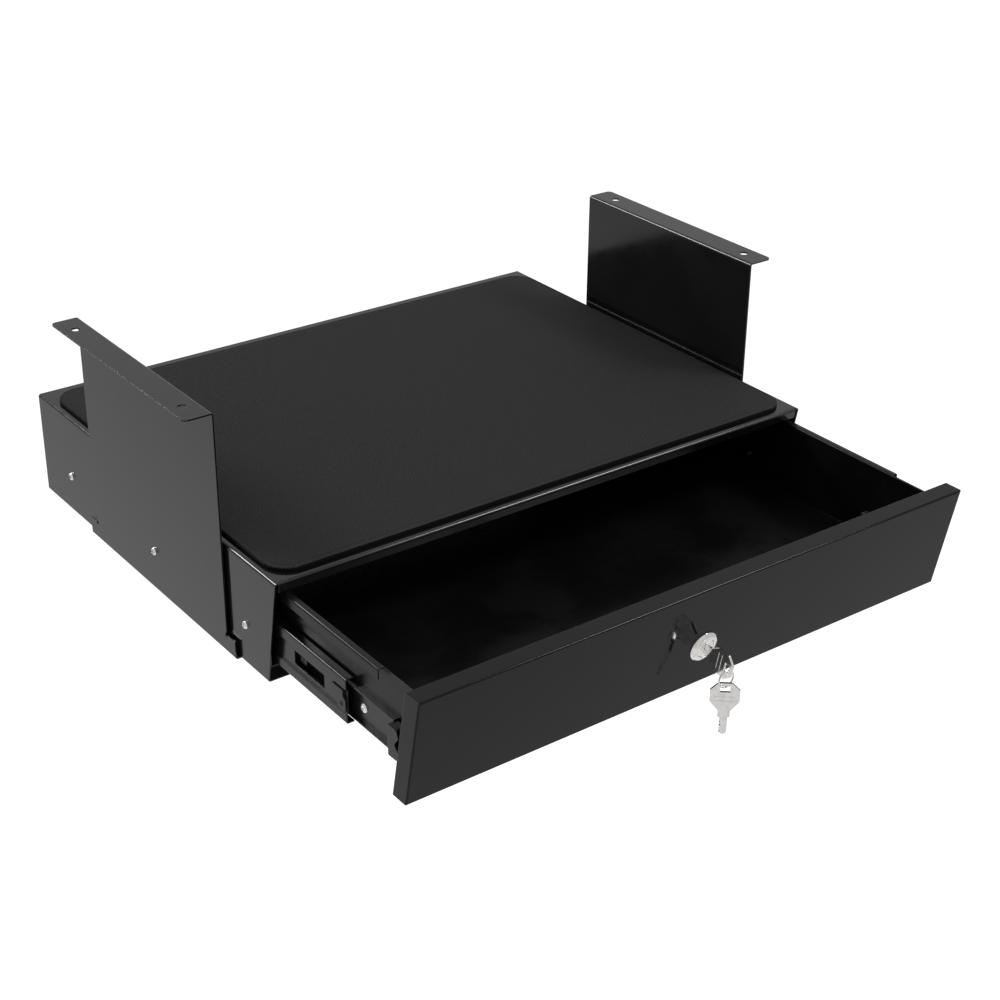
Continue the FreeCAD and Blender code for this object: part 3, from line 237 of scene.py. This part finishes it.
class SharedEffects:
    """Node groups that several finishes use, each built once."""

    def __init__(self) -> None:
        """Start with no groups built."""
        self._groups: dict[str, bpy.types.NodeTree] = {}

    def place(self, sheet: NodeSheet, name: str, **values: float) -> bpy.types.Node:
        """Put a group into a material.

        Args:
            sheet: The material's nodes.
            name: Name of the effect, which is also the name of the method that builds it.
            values: Numbers for the group's inputs, spaces in their names written as underscores.

        Returns:
            The group node.
        """
        if name not in self._groups:
            self._groups[name] = getattr(self, "_" + name)()
        node = sheet.add("Group", node_tree=self._groups[name])
        for key, number in values.items():
            node.inputs[key.replace("_", " ").capitalize()].default_value = number
        return node

    @staticmethod
    def _start(name: str, inputs: dict[str, float],
               outputs: dict[str, str]) -> tuple[NodeSheet, bpy.types.Node, bpy.types.Node]:
        """Begin a group.

        Args:
            name: Name of the group.
            inputs: Default value of each numeric input.
            outputs: Socket type of each output.

        Returns:
            The group's nodes, its input node and its output node.
        """
        tree = bpy.data.node_groups.new(name, "ShaderNodeTree")
        for title, default in inputs.items():
            socket = tree.interface.new_socket(name=title, in_out="INPUT", socket_type="NodeSocketFloat")
            socket.default_value = default
        for title, kind in outputs.items():
            tree.interface.new_socket(name=title, in_out="OUTPUT", socket_type=kind)
        sheet = NodeSheet(tree)
        return sheet, sheet.add("NodeGroupInput"), sheet.add("NodeGroupOutput")

    def _soft_edges(self) -> bpy.types.NodeTree:
        """Round sharp edges in the shading, and mark them for a painted highlight.

        Returns:
            A group that turns a radius into a normal and an edge mask, along which the finishes paint a
            highlight.
        """
        sheet, given, result = self._start(
            "soft_edges", {"Radius": 0.4 * MM}, {"Normal": "NodeSocketVector", "Edge": "NodeSocketFloat"})
        bevel = sheet.add("Bevel", samples=6)
        sheet.link(given.outputs["Radius"], bevel.inputs["Radius"])
        surface = sheet.add("NewGeometry")
        turn = sheet.add("VectorMath", operation="DOT_PRODUCT")
        sheet.link(bevel.outputs["Normal"], turn.inputs[0])
        sheet.link(surface.outputs["Normal"], turn.inputs[1])
        away = sheet.math("SUBTRACT", 1.0, turn.outputs["Value"])
        sheet.link(bevel.outputs["Normal"], result.inputs["Normal"])
        # The edge mask marks where the finishes paint a highlight.
        sheet.link(sheet.remap(away, *EDGE_TURN), result.inputs["Edge"])
        return sheet.tree

    def _orange_peel(self) -> bpy.types.NodeTree:
        """Make the fine ripple of a powder coat, with a slow mottle and specks in it.

        Returns:
            A group that turns a grain size into a height and two masks.
        """
        sheet, given, result = self._start(
            "orange_peel", {"Grain": 0.9 * MM},
            {"Height": "NodeSocketFloat", "Mottle": "NodeSocketFloat", "Speck": "NodeSocketFloat"})
        place = sheet.add("TexCoord")
        rate = sheet.math("DIVIDE", 1.0, given.outputs["Grain"])
        spot = place.outputs["Object"]
        ripple = sheet.noise(spot, rate, detail=1.5, roughness=0.45)
        mottle = sheet.noise(spot, MOTTLE_RATE, detail=3.0)
        speck = sheet.noise(spot, sheet.math("MULTIPLY", rate, SPECK_RATIO), detail=0.0)
        sheet.link(ripple, result.inputs["Height"])
        sheet.link(sheet.remap(mottle, 0.35, 0.65), result.inputs["Mottle"])
        sheet.link(sheet.remap(speck, 0.62, 0.72), result.inputs["Speck"])
        return sheet.tree

    def _fine_marks(self) -> bpy.types.NodeTree:
        """Make hairline marks that run one way, over a cloudy haze.

        Returns:
            A group that turns a width and a stretch into a mark and a haze mask.
        """
        sheet, given, result = self._start(
            "fine_marks", {"Width": 0.2 * MM, "Stretch": 12.0},
            {"Mark": "NodeSocketFloat", "Haze": "NodeSocketFloat"})
        place = sheet.add("TexCoord")
        parts = sheet.add("SeparateXYZ")
        sheet.link(place.outputs["Object"], parts.inputs[0])
        joined = sheet.add("CombineXYZ")
        rate = sheet.math("DIVIDE", 1.0, given.outputs["Width"])
        slow = sheet.math("DIVIDE", rate, given.outputs["Stretch"])
        sheet.link(sheet.math("MULTIPLY", parts.outputs["X"], rate), joined.inputs["X"])
        sheet.link(sheet.math("MULTIPLY", parts.outputs["Y"], slow), joined.inputs["Y"])
        sheet.link(sheet.math("MULTIPLY", parts.outputs["Z"], rate), joined.inputs["Z"])
        mark = sheet.noise(joined.outputs[0], 1.0, detail=3.0)
        haze = sheet.noise(place.outputs["Object"], HAZE_RATE)
        sheet.link(mark, result.inputs["Mark"])
        sheet.link(sheet.remap(haze, 0.35, 0.7), result.inputs["Haze"])
        return sheet.tree

    def _weave(self) -> bpy.types.NodeTree:
        """Make a plain weave seen from above, its threads slightly uneven.

        Returns:
            A group that turns a thread pitch into a height, a thread mask and fluff.
        """
        sheet, given, result = self._start(
            "weave", {"Pitch": 1.2 * MM},
            {"Height": "NodeSocketFloat", "Thread": "NodeSocketFloat", "Fluff": "NodeSocketFloat"})
        place = sheet.add("TexCoord")
        drift = sheet.noise(place.outputs["Object"], DRIFT_RATE)
        parts = sheet.add("SeparateXYZ")
        sheet.link(place.outputs["Object"], parts.inputs[0])
        rate = sheet.math("DIVIDE", math.tau, given.outputs["Pitch"])
        wander = sheet.math("MULTIPLY", drift, DRIFT_TURN)
        across = sheet.math("ADD", sheet.math("MULTIPLY", parts.outputs["X"], rate), wander)
        along = sheet.math("ADD", sheet.math("MULTIPLY", parts.outputs["Y"], rate), wander)
        warp = sheet.math("SINE", sheet.math("ADD", across, along))
        weft = sheet.math("SINE", sheet.math("SUBTRACT", across, along))
        dome = sheet.math("MULTIPLY_ADD", warp, weft)
        dome.node.inputs[2].default_value = 1.0
        height = sheet.math("MULTIPLY", dome, 0.5)
        sheet.link(height, result.inputs["Height"])
        sheet.link(sheet.remap(height, 0.50, 0.80), result.inputs["Thread"])
        sheet.link(sheet.noise(place.outputs["Object"], FLUFF_RATE), result.inputs["Fluff"])
        return sheet.tree


EFFECTS = SharedEffects()


def new_material(name: str) -> tuple[bpy.types.Material, NodeSheet, bpy.types.Node]:
    """Start a material.

    Args:
        name: Name of the material.

    Returns:
        The material, its nodes and its Principled shader.
    """
    material = bpy.data.materials.new(name)
    material.use_nodes = True
    return material, NodeSheet(material.node_tree), material.node_tree.nodes["Principled BSDF"]


def bump(sheet: NodeSheet, height: bpy.types.NodeSocket, depth: float, normal: bpy.types.NodeSocket | None,
         shader: bpy.types.Node) -> None:
    """Feed a height to a shader as a bump.

    Args:
        sheet: The material's nodes.
        height: Height from 0 to 1.
        depth: Depth of the relief.
        normal: Normal that the bump is added to, if it isn't the surface's own.
        shader: The shader that takes the normal.
    """
    node = sheet.add("Bump")
    node.inputs["Strength"].default_value = 1.0
    node.inputs["Distance"].default_value = depth
    sheet.link(height, node.inputs["Height"])
    if normal is not None:
        sheet.link(normal, node.inputs["Normal"])
    sheet.link(node.outputs["Normal"], shader.inputs["Normal"])


@dataclass(frozen=True)
class PowderCoat:
    """Powder-coated or dip-coated sheet steel, with a painted highlight along its edges."""

    name: str
    colour: Colour
    mottled: Colour
    # edge is a painted highlight: a lighter colour laid along sharp edges and bends.
    edge: Colour
    gloss: float
    dull: float
    grain: float = 0.9 * MM
    relief: float = 0.004 * MM
    edge_radius: float = 0.35 * MM
    speck_rough: float = 0.08
    specular: float = 0.5

    def material(self) -> bpy.types.Material:
        """Build the finish.

        Returns:
            The material.
        """
        material, sheet, shader = new_material(self.name)
        edges = EFFECTS.place(sheet, "soft_edges", radius=self.edge_radius)
        peel = EFFECTS.place(sheet, "orange_peel", grain=self.grain)
        body = sheet.mix(peel.outputs["Mottle"], self.colour, self.mottled)
        # Painted highlight: along the edge mask the colour turns to the lighter edge colour.
        sheet.link(sheet.mix(edges.outputs["Edge"], body, self.edge), shader.inputs["Base Color"])
        rough = sheet.remap(peel.outputs["Mottle"], 0.0, 1.0, self.gloss, self.dull)
        speckled = sheet.math("MULTIPLY_ADD", peel.outputs["Speck"], self.speck_rough)
        sheet.link(rough, speckled.node.inputs[2])
        sheet.link(speckled, shader.inputs["Roughness"])
        shader.inputs["Specular IOR Level"].default_value = self.specular
        bump(sheet, peel.outputs["Height"], self.relief, edges.outputs["Normal"], shader)
        return material


@dataclass(frozen=True)
class PlatedMetal:
    """Bright plated or bare metal with hairline marks."""

    name: str
    colour: Colour
    hazed: Colour
    gloss: float
    dull: float
    mark_width: float = 0.2 * MM
    stretch: float = 12.0
    relief: float = 0.003 * MM
    edge_radius: float = 0.2 * MM

    def material(self) -> bpy.types.Material:
        """Build the finish.

        Returns:
            The material.
        """
        material, sheet, shader = new_material(self.name)
        edges = EFFECTS.place(sheet, "soft_edges", radius=self.edge_radius)
        marks = EFFECTS.place(sheet, "fine_marks", width=self.mark_width, stretch=self.stretch)
        sheet.link(sheet.mix(marks.outputs["Haze"], self.colour, self.hazed), shader.inputs["Base Color"])
        rough = sheet.remap(marks.outputs["Mark"], 0.3, 0.7, self.gloss, self.dull)
        sheet.link(rough, shader.inputs["Roughness"])
        shader.inputs["Metallic"].default_value = 1.0
        bump(sheet, marks.outputs["Mark"], self.relief, edges.outputs["Normal"], shader)
        return material


@dataclass(frozen=True)
class MouldedPlastic:
    """Black moulded plastic with a fine spark-eroded grain and a painted highlight along its edges."""

    name: str
    colour: Colour
    # Painted highlight: a lighter colour laid along sharp edges.
    edge_highlight: Colour
    roughness: float
    spread: float = 0.08
    grain: float = 0.35 * MM
    relief: float = 0.012 * MM
    edge_radius: float = 0.3 * MM

    def material(self) -> bpy.types.Material:
        """Build the finish.

        Returns:
            The material.
        """
        material, sheet, shader = new_material(self.name)
        edges = EFFECTS.place(sheet, "soft_edges", radius=self.edge_radius)
        peel = EFFECTS.place(sheet, "orange_peel", grain=self.grain)
        # Painted highlight: along the edge mask the colour turns to the lighter edge colour.
        sheet.link(sheet.mix(edges.outputs["Edge"], self.colour, self.edge_highlight), shader.inputs["Base Color"])
        rough = sheet.remap(peel.outputs["Height"], 0.3, 0.7, self.roughness - self.spread,
                            self.roughness + self.spread)
        sheet.link(rough, shader.inputs["Roughness"])
        bump(sheet, peel.outputs["Height"], self.relief, edges.outputs["Normal"], shader)
        return material


@dataclass(frozen=True)
class WovenFabric:
    """Fine black cloth bonded to rubber, with a plain rubber edge."""

    name: str
    thread: Colour
    gap: Colour
    rubber: Colour
    pitch: float = 3.1 * MM
    relief: float = 0.30 * MM
    gap_rough: float = 0.9
    thread_rough: float = 0.68
    specular: float = 0.12
    fluff_share: float = 0.5
    sheen: float = 0.015
    sheen_rough: float = 0.4

    def material(self) -> bpy.types.Material:
        """Build the finish.

        Returns:
            The material.
        """
        material, sheet, shader = new_material(self.name)
        weave = EFFECTS.place(sheet, "weave", pitch=self.pitch)
        cloth = sheet.mix(weave.outputs["Thread"], self.gap, self.thread)
        surface = sheet.add("NewGeometry")
        facing = sheet.add("SeparateXYZ")
        sheet.link(surface.outputs["Normal"], facing.inputs[0])
        upward = sheet.remap(facing.outputs["Z"], 0.35, 0.75)
        light = sheet.remap(weave.outputs["Fluff"], 0.3, 0.7, 0.55, 1.45)
        dyed = sheet.mix(upward, self.rubber, cloth)
        sheet.link(sheet.mix(self.fluff_share, dyed, light, blend="MULTIPLY"), shader.inputs["Base Color"])
        rough = sheet.remap(weave.outputs["Thread"], 0.0, 1.0, self.gap_rough, self.thread_rough)
        sheet.link(rough, shader.inputs["Roughness"])
        shader.inputs["Specular IOR Level"].default_value = self.specular
        shader.inputs["Sheen Weight"].default_value = self.sheen
        shader.inputs["Sheen Roughness"].default_value = self.sheen_rough
        ribs = sheet.math("MULTIPLY", weave.outputs["Height"], upward)
        bump(sheet, ribs, self.relief, None, shader)
        return material


# In each powder coat the third colour, and in the plastic the second, is a painted highlight along edges.
FINISHES: dict[Look, object] = {
    Look.BLACK_STEEL: PowderCoat("black_powder_coat", (0.0045, 0.0045, 0.0048), (0.007, 0.007, 0.0075),
                                 (0.14, 0.14, 0.145), 0.09, 0.15),
    Look.PANEL_GLOSS: PowderCoat("glossy_powder_coat", (0.0030, 0.0030, 0.0033), (0.0045, 0.0045, 0.005),
                                 (0.20, 0.20, 0.205), 0.035, 0.06, relief=0.0015 * MM, specular=0.18),
    # Painted shade: the tray's coat is the black coat made darker and less reflective, for the shade on its
    # walls in the narrow gaps by the slides.
    Look.TRAY_SATIN_SHADED: PowderCoat("shaded_satin_powder_coat", (0.0035, 0.0035, 0.0038), (0.0055, 0.0055, 0.006),
                                (0.12, 0.12, 0.125), 0.20, 0.30, specular=0.22),
    Look.SLIDE_STEEL: PowderCoat("black_dip_coat", (0.005, 0.005, 0.0055), (0.008, 0.008, 0.0085),
                                 (0.060, 0.060, 0.062), 0.16, 0.26, grain=0.5 * MM, specular=0.4),
    Look.CAGE_STEEL: PlatedMetal("bare_thin_steel", (0.42, 0.42, 0.43), (0.34, 0.34, 0.35), 0.26, 0.42),
    Look.BALL_STEEL: PlatedMetal("ground_ball_steel", (0.80, 0.80, 0.81), (0.70, 0.69, 0.66), 0.06, 0.14),
    Look.BLACK_PLASTIC: MouldedPlastic("black_moulded_plastic", (0.006, 0.006, 0.0065),
                                       (0.030, 0.030, 0.032), 0.36),
    Look.ZINC: PlatedMetal("bright_zinc", (0.92, 0.93, 0.95), (0.80, 0.82, 0.84), 0.10, 0.20),
    Look.NICKEL: PlatedMetal("bright_nickel", (0.92, 0.91, 0.89), (0.80, 0.79, 0.77), 0.07, 0.16,
                             mark_width=0.12 * MM),
    Look.MAT_FABRIC: WovenFabric("black_mat_cloth", (0.070, 0.070, 0.071), (0.001, 0.001, 0.001),
                                 (0.004, 0.004, 0.004)),
}


class FinishShelf:
    """One material for each look, made when it is first asked for."""

    def __init__(self) -> None:
        """Start with an empty shelf."""
        self._made: dict[Look, bpy.types.Material] = {}

    def get(self, look: Look) -> bpy.types.Material:
        """Return the material of a look."""
        if look not in self._made:
            self._made[look] = FINISHES[look].material()
        return self._made[look]

    def dress(self, piece: bpy.types.Object, look: Look) -> None:
        """Give a piece one material, in place of what it had.

        Args:
            piece: The object to dress.
            look: The finish that it gets.
        """
        piece.data.materials.clear()
        piece.data.materials.append(self.get(look))


def mesh_object(name: str, shape: bmesh.types.BMesh) -> bpy.types.Object:
    """Turn a bmesh into an object of the scene, smoothly shaded.

    Args:
        name: Name of the object.
        shape: The mesh, which is freed.

    Returns:
        The new object.
    """
    bmesh.ops.recalc_face_normals(shape, faces=shape.faces)
    data = bpy.data.meshes.new(name)
    shape.to_mesh(data)
    shape.free()
    data.shade_smooth()
    piece = bpy.data.objects.new(name, data)
    bpy.context.scene.collection.objects.link(piece)
    return piece


# ---- Sub-assemblies ----


@dataclass
class CadAssembly:
    """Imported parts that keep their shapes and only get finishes."""

    title: str
    nodes: dict[Look, tuple[str, ...]]

    def build(self, shelf: FinishShelf) -> int:
        """Dress the parts.

        Args:
            shelf: Where the materials come from.

        Returns:
            How many parts there are.
        """
        count = 0
        for look, names in self.nodes.items():
            for name in names:
                shelf.dress(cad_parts[name], look)
                log.info("%s: %s in %s", self.title, name, look.value)
                count += 1
        return count


@dataclass
class DeskMat:
    """Woven mat with a pressed border, lying on the case."""

    node: str = "desk_mat"
    corner: float = 23.0 * MM
    edge_round: float = 1.1 * MM
    border_in: float = 3.4 * MM
    border_deep: float = 0.15 * MM
    border_wide: float = 1.0 * MM
    border_bank: float = 1.6
    first_ring: float = 10.0 * MM
    ring_step: float = 12.0 * MM
    middle_gap: float = 2.0 * MM
    ripple: float = 0.18 * MM
    corner_steps: int = 14
    side_steps: int = 36

    def build(self, shelf: FinishShelf) -> bpy.types.Object:
        """Model the mat in the space that its solid holds.

        Args:
            shelf: Where the material comes from.

        Returns:
            The mat.
        """
        low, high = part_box(self.node)
        shape = bmesh.new()
        rings = [[shape.verts.new(point) for point in ring] for ring in self._rings(low, high)]
        for outer, inner in zip(rings, rings[1:]):
            for index in range(len(outer)):
                following = (index + 1) % len(outer)
                shape.faces.new((outer[index], outer[following], inner[following], inner[index]))
        shape.faces.new(list(reversed(rings[0])))
        shape.faces.new(rings[-1])
        mat = mesh_object("mat_cloth", shape)
        shelf.dress(mat, Look.MAT_FABRIC)
        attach(mat, "case")
        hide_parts(self.node)
        return mat

    def _rings(self, low: Vector, high: Vector) -> list[list[Vector]]:
        """Work out the closed rings of points that the mat is skinned over.

        Args:
            low: Lowest corner of the mat's solid.
            high: Highest corner of it.

        Returns:
            Rings from the underside's edge, up over the rim and in to the middle of the top.
        """
        tall = high.z - low.z
        steps = [(self.edge_round * 0.5, 0.0), (0.0, self.edge_round * 0.5), (0.0, tall - self.edge_round)]
        for turn in (30.0, 60.0, 90.0):
            angle = math.radians(turn)
            steps.append((self.edge_round * (1 - math.cos(angle)),
                          tall - self.edge_round * (1 - math.sin(angle))))
        half = self.border_wide / 2
        bank = self.border_bank * half
        slope = tall - self.border_deep * 0.5
        steps += [(self.border_in - bank, tall), (self.border_in - half, slope),
                  (self.border_in, tall - self.border_deep), (self.border_in + half, slope),
                  (self.border_in + bank, tall)]
        inset = self.first_ring
        while inset < (high.y - low.y) / 2 - self.middle_gap:
            steps.append((inset, tall))
            inset += self.ring_step
        return [self._ring(low, high, inward, up) for inward, up in steps]

    def _ring(self, low: Vector, high: Vector, inward: float, up: float) -> list[Vector]:
        """Work out one ring, a rectangle with round corners.

        Args:
            low: Lowest corner of the mat's solid.
            high: Highest corner of it.
            inward: How far the ring lies inside the outline.
            up: Height above the underside.

        Returns:
            The ring's points, anticlockwise.
        """
        radius = max(self.corner - inward, 0.5 * MM)
        points = []
        centres = ((high.x, high.y, 1, 1, 0), (low.x, high.y, -1, 1, 90),
                   (low.x, low.y, -1, -1, 180), (high.x, low.y, 1, -1, 270))
        for x, y, right, back, start in centres:
            middle = Vector((x - right * (inward + radius), y - back * (inward + radius), 0.0))
            for step in range(self.corner_steps + 1):
                angle = math.radians(start + 90.0 * step / self.corner_steps)
                points.append(middle + radius * Vector((math.cos(angle), math.sin(angle), 0.0)))
        filled = []
        stride = self.corner_steps + 1
        for index, point in enumerate(points):
            filled.append(point)
            if index % stride == stride - 1:
                following = points[(index + 1) % len(points)]
                for step in range(1, self.side_steps):
                    filled.append(point.lerp(following, step / self.side_steps))
        for point in filled:
            point.z = low.z + up - (self._sag(point) if inward > self.border_in else 0.0)
        return filled

    def _sag(self, point: Vector) -> float:
        """Return how far the soft top lies below its full height at a point."""
        short = math.sin(point.x * 23.0 + 1.3) * math.sin(point.y * 31.0)
        long = math.sin(point.x * 9.0 - point.y * 14.0)
        return self.ripple * (0.5 + 0.25 * (short + long))


@dataclass
class SplitRing:
    """Key ring: two turns of round wire side by side, with a crank where they cross."""

    node: str = "key_ring"
    wire: float = 0.8 * MM
    turns: float = 2.0
    steps: int = 168
    sides: int = 14
    crank: float = 0.12
    start_angle: float = 200.0

    def build(self, shelf: FinishShelf) -> bpy.types.Object:
        """Model the ring in the space that its solid holds.

        Args:
            shelf: Where the material comes from.

        Returns:
            The ring.
        """
        low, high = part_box(self.node)
        centre = (low + high) / 2
        radius = (high.z - low.z) / 2 - (high.y - low.y) / 2
        shape = bmesh.new()
        loops = []
        for step in range(self.steps + 1):
            share = step / self.steps
            angle = math.tau * self.turns * share + math.radians(self.start_angle)
            outward = Vector((math.cos(angle), 0.0, math.sin(angle)))
            middle = centre + radius * outward + Vector((0.0, self._offset(share), 0.0))
            loops.append([shape.verts.new(middle + self._rim(outward, side)) for side in range(self.sides)])
        for first, second in zip(loops, loops[1:]):
            for side in range(self.sides):
                following = (side + 1) % self.sides
                shape.faces.new((first[side], first[following], second[following], second[side]))
        shape.faces.new(list(reversed(loops[0])))
        shape.faces.new(loops[-1])
        ring = mesh_object("split_ring", shape)
        shelf.dress(ring, Look.NICKEL)
        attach(ring, "ring")
        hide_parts(self.node)
        log.info("split ring: %.1f mm across", 2 * (radius + self.wire / 2) / MM)
        return ring

    def _offset(self, share: float) -> float:
        """Return how far sideways the wire lies at a share of its length: a step between two flat turns."""
        ramp = min(max((share - 0.5) / self.crank + 0.5, 0.0), 1.0)
        return self.wire * (ramp * ramp * (3.0 - 2.0 * ramp) - 0.5)

    def _rim(self, outward: Vector, side: int) -> Vector:
        """Return a point of the wire's round section, from its middle."""
        angle = math.tau * side / self.sides
        return self.wire / 2 * (math.cos(angle) * outward + math.sin(angle) * Vector((0.0, 1.0, 0.0)))


# ---- Studio ----


@dataclass
class SoftBox:
    """Large soft lamp that looks at the middle of the object."""

    name: str
    place: Vector
    size: tuple[float, float]
    power: float

    def build(self, target: Vector) -> None:
        """Set the lamp up.

        Args:
            target: Point that the lamp faces.
        """
        data = bpy.data.lights.new(self.name, "AREA")
        data.shape = "RECTANGLE"
        data.size, data.size_y = self.size
        data.energy = self.power
        lamp = bpy.data.objects.new(self.name, data)
        lamp.location = target + self.place
        lamp.rotation_euler = (-self.place).to_track_quat("-Z", "Y").to_euler()
        bpy.context.scene.collection.objects.link(lamp)
        log.info("light: %s", self.name)


@dataclass
class Studio:
    """Pale floor, pale surroundings and soft lamps."""

    floor_drop: float = 1.5
    floor_half: float = 16.0
    floor_colour: Colour = (0.93, 0.93, 0.93)
    floor_glow: float = 0.46
    floor_rough: float = 0.9
    floor_specular: float = 0.1
    sky: float = 0.62
    horizon: float = 0.50
    lamp_size: tuple[float, float] = (0.8, 0.5)
    lamp_power: float = 22.0

    def build(self, middle: Vector) -> None:
        """Set the studio up.

        Args:
            middle: Middle of the object.
        """
        self._floor(middle)
        self._surroundings()
        for name, place in (("front_soft_box", Vector((1.33, -1.10, 1.72))),
                            ("rear_soft_box", Vector((-1.11, 1.77, 1.27)))):
            SoftBox(name, place, self.lamp_size, self.lamp_power).build(middle)

    def _floor(self, middle: Vector) -> None:
        """Lay the floor well below the object, with a glow that only the camera sees.

        Args:
            middle: Middle of the object.
        """
        shape = bmesh.new()
        bmesh.ops.create_grid(shape, x_segments=8, y_segments=8, size=self.floor_half)
        floor = mesh_object("studio_floor", shape)
        floor.location = (middle.x, middle.y, middle.z - self.floor_drop)
        material, sheet, shader = new_material("pale_floor")
        shader.inputs["Base Color"].default_value = (*self.floor_colour, 1.0)
        shader.inputs["Roughness"].default_value = self.floor_rough
        shader.inputs["Specular IOR Level"].default_value = self.floor_specular
        shader.inputs["Emission Color"].default_value = (1.0, 1.0, 1.0, 1.0)
        seen = sheet.add("LightPath")
        sheet.link(sheet.math("MULTIPLY", seen.outputs["Is Camera Ray"], self.floor_glow),
                   shader.inputs["Emission Strength"])
        floor.data.materials.append(material)

    def _surroundings(self) -> None:
        """Light the room evenly, a little less towards the horizon."""
        world = bpy.data.worlds.new("pale_room")
        world.use_nodes = True
        bpy.context.scene.world = world
        sheet = NodeSheet(world.node_tree)
        place = sheet.add("TexCoord")
        parts = sheet.add("SeparateXYZ")
        sheet.link(place.outputs["Generated"], parts.inputs[0])
        strength = sheet.remap(parts.outputs["Z"], -0.1, 0.7, self.horizon, self.sky)
        background = world.node_tree.nodes["Background"]
        background.inputs["Color"].default_value = (1.0, 1.0, 1.0, 1.0)
        sheet.link(strength, background.inputs["Strength"])


@dataclass
class CameraStand:
    """Camera at the front left, looking down at the open drawer."""

    azimuth: float = 36.71
    elevation: float = 27.73
    roll: float = 0.62
    distance: float = 1.7097
    focal_length: float = 68.49
    sensor: float = 36.0
    view_limit: float = 100.0
    aim_from_case: tuple[float, float, float] = (0.0027, -0.1268, -0.0008)

    def build(self) -> None:
        """Place the camera and make it the scene's own."""
        low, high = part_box("case_shell")
        aim = (low + high) / 2 + Vector(self.aim_from_case)
        turn, tilt = math.radians(self.azimuth), math.radians(self.elevation)
        away = Vector((-math.sin(turn) * math.cos(tilt), -math.cos(turn) * math.cos(tilt), math.sin(tilt)))
        data = bpy.data.cameras.new("front_left_camera")
        data.lens = self.focal_length
        data.sensor_width = self.sensor
        data.clip_end = self.view_limit
        camera = bpy.data.objects.new("front_left_camera", data)
        level = (-away).to_track_quat("-Z", "Y")
        camera.rotation_mode = "QUATERNION"
        camera.rotation_quaternion = level @ Quaternion((0.0, 0.0, 1.0), math.radians(self.roll))
        camera.location = aim + self.distance * away
        bpy.context.scene.collection.objects.link(camera)
        bpy.context.scene.camera = camera
        log.info("camera at %s", [round(number, 4) for number in camera.location])


def both(*names: str) -> tuple[str, ...]:
    """Return the left and the right name of each paired part."""
    return tuple(f"{name}_{side}" for name in names for side in ("left", "right"))


def assemblies() -> list[CadAssembly]:
    """List the sub-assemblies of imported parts.

    Returns:
        The sub-assemblies, from the case to the keys.
    """
    return [
        CadAssembly("case", {Look.BLACK_STEEL: ("case_shell", "case_back"),
                             Look.ZINC: ("foot_screws",) + both("case_screws"),
                             Look.MAT_FABRIC: ("desk_mat",)}),
        CadAssembly("brackets", {Look.BLACK_STEEL: both("bracket"), Look.ZINC: both("bracket_screw")}),
        CadAssembly("slides", {Look.SLIDE_STEEL: both("slide_outer", "slide_middle", "slide_inner"),
                               Look.CAGE_STEEL: both("cage_outer", "cage_inner"),
                               Look.BALL_STEEL: both("balls_outer", "balls_inner"),
                               Look.BLACK_PLASTIC: both("slide_bumper", "slide_stop", "release_lever",
                                                        "lever_pin", "bumper_pin")}),
        # The tray pieces get the darker copy of the coat, as painted shade.
        CadAssembly("drawer", {Look.TRAY_SATIN_SHADED: ("drawer_tray", "drawer_back", "drawer_inner_front"),
                               Look.PANEL_GLOSS: ("drawer_front_panel",),
                               Look.ZINC: ("front_screws",) + both("drawer_screws")}),
        CadAssembly("lock", {Look.NICKEL: ("lock_housing", "lock_nut", "lock_plug", "lock_cam"),
                             Look.ZINC: ("cam_screw",)}),
        CadAssembly("keys", {Look.NICKEL: ("key_in_lock", "key_spare", "key_ring")}),
    ]


def main() -> None:
    """Build every sub-assembly, the studio and the camera."""
    logging.basicConfig(level=logging.INFO, format="%(message)s")
    bpy.context.scene.view_settings.view_transform = "Standard"
    CameraStand().build()
    shelf = FinishShelf()
    for assembly in assemblies():
        log.info("%s: %d parts", assembly.title, assembly.build(shelf))
    DeskMat().build(shelf)
    SplitRing().build(shelf)
    low, high = (Vector(corner) for corner in CAD_BOX)
    Studio().build((low + high) / 2)


if __name__ == "__main__":
    main()
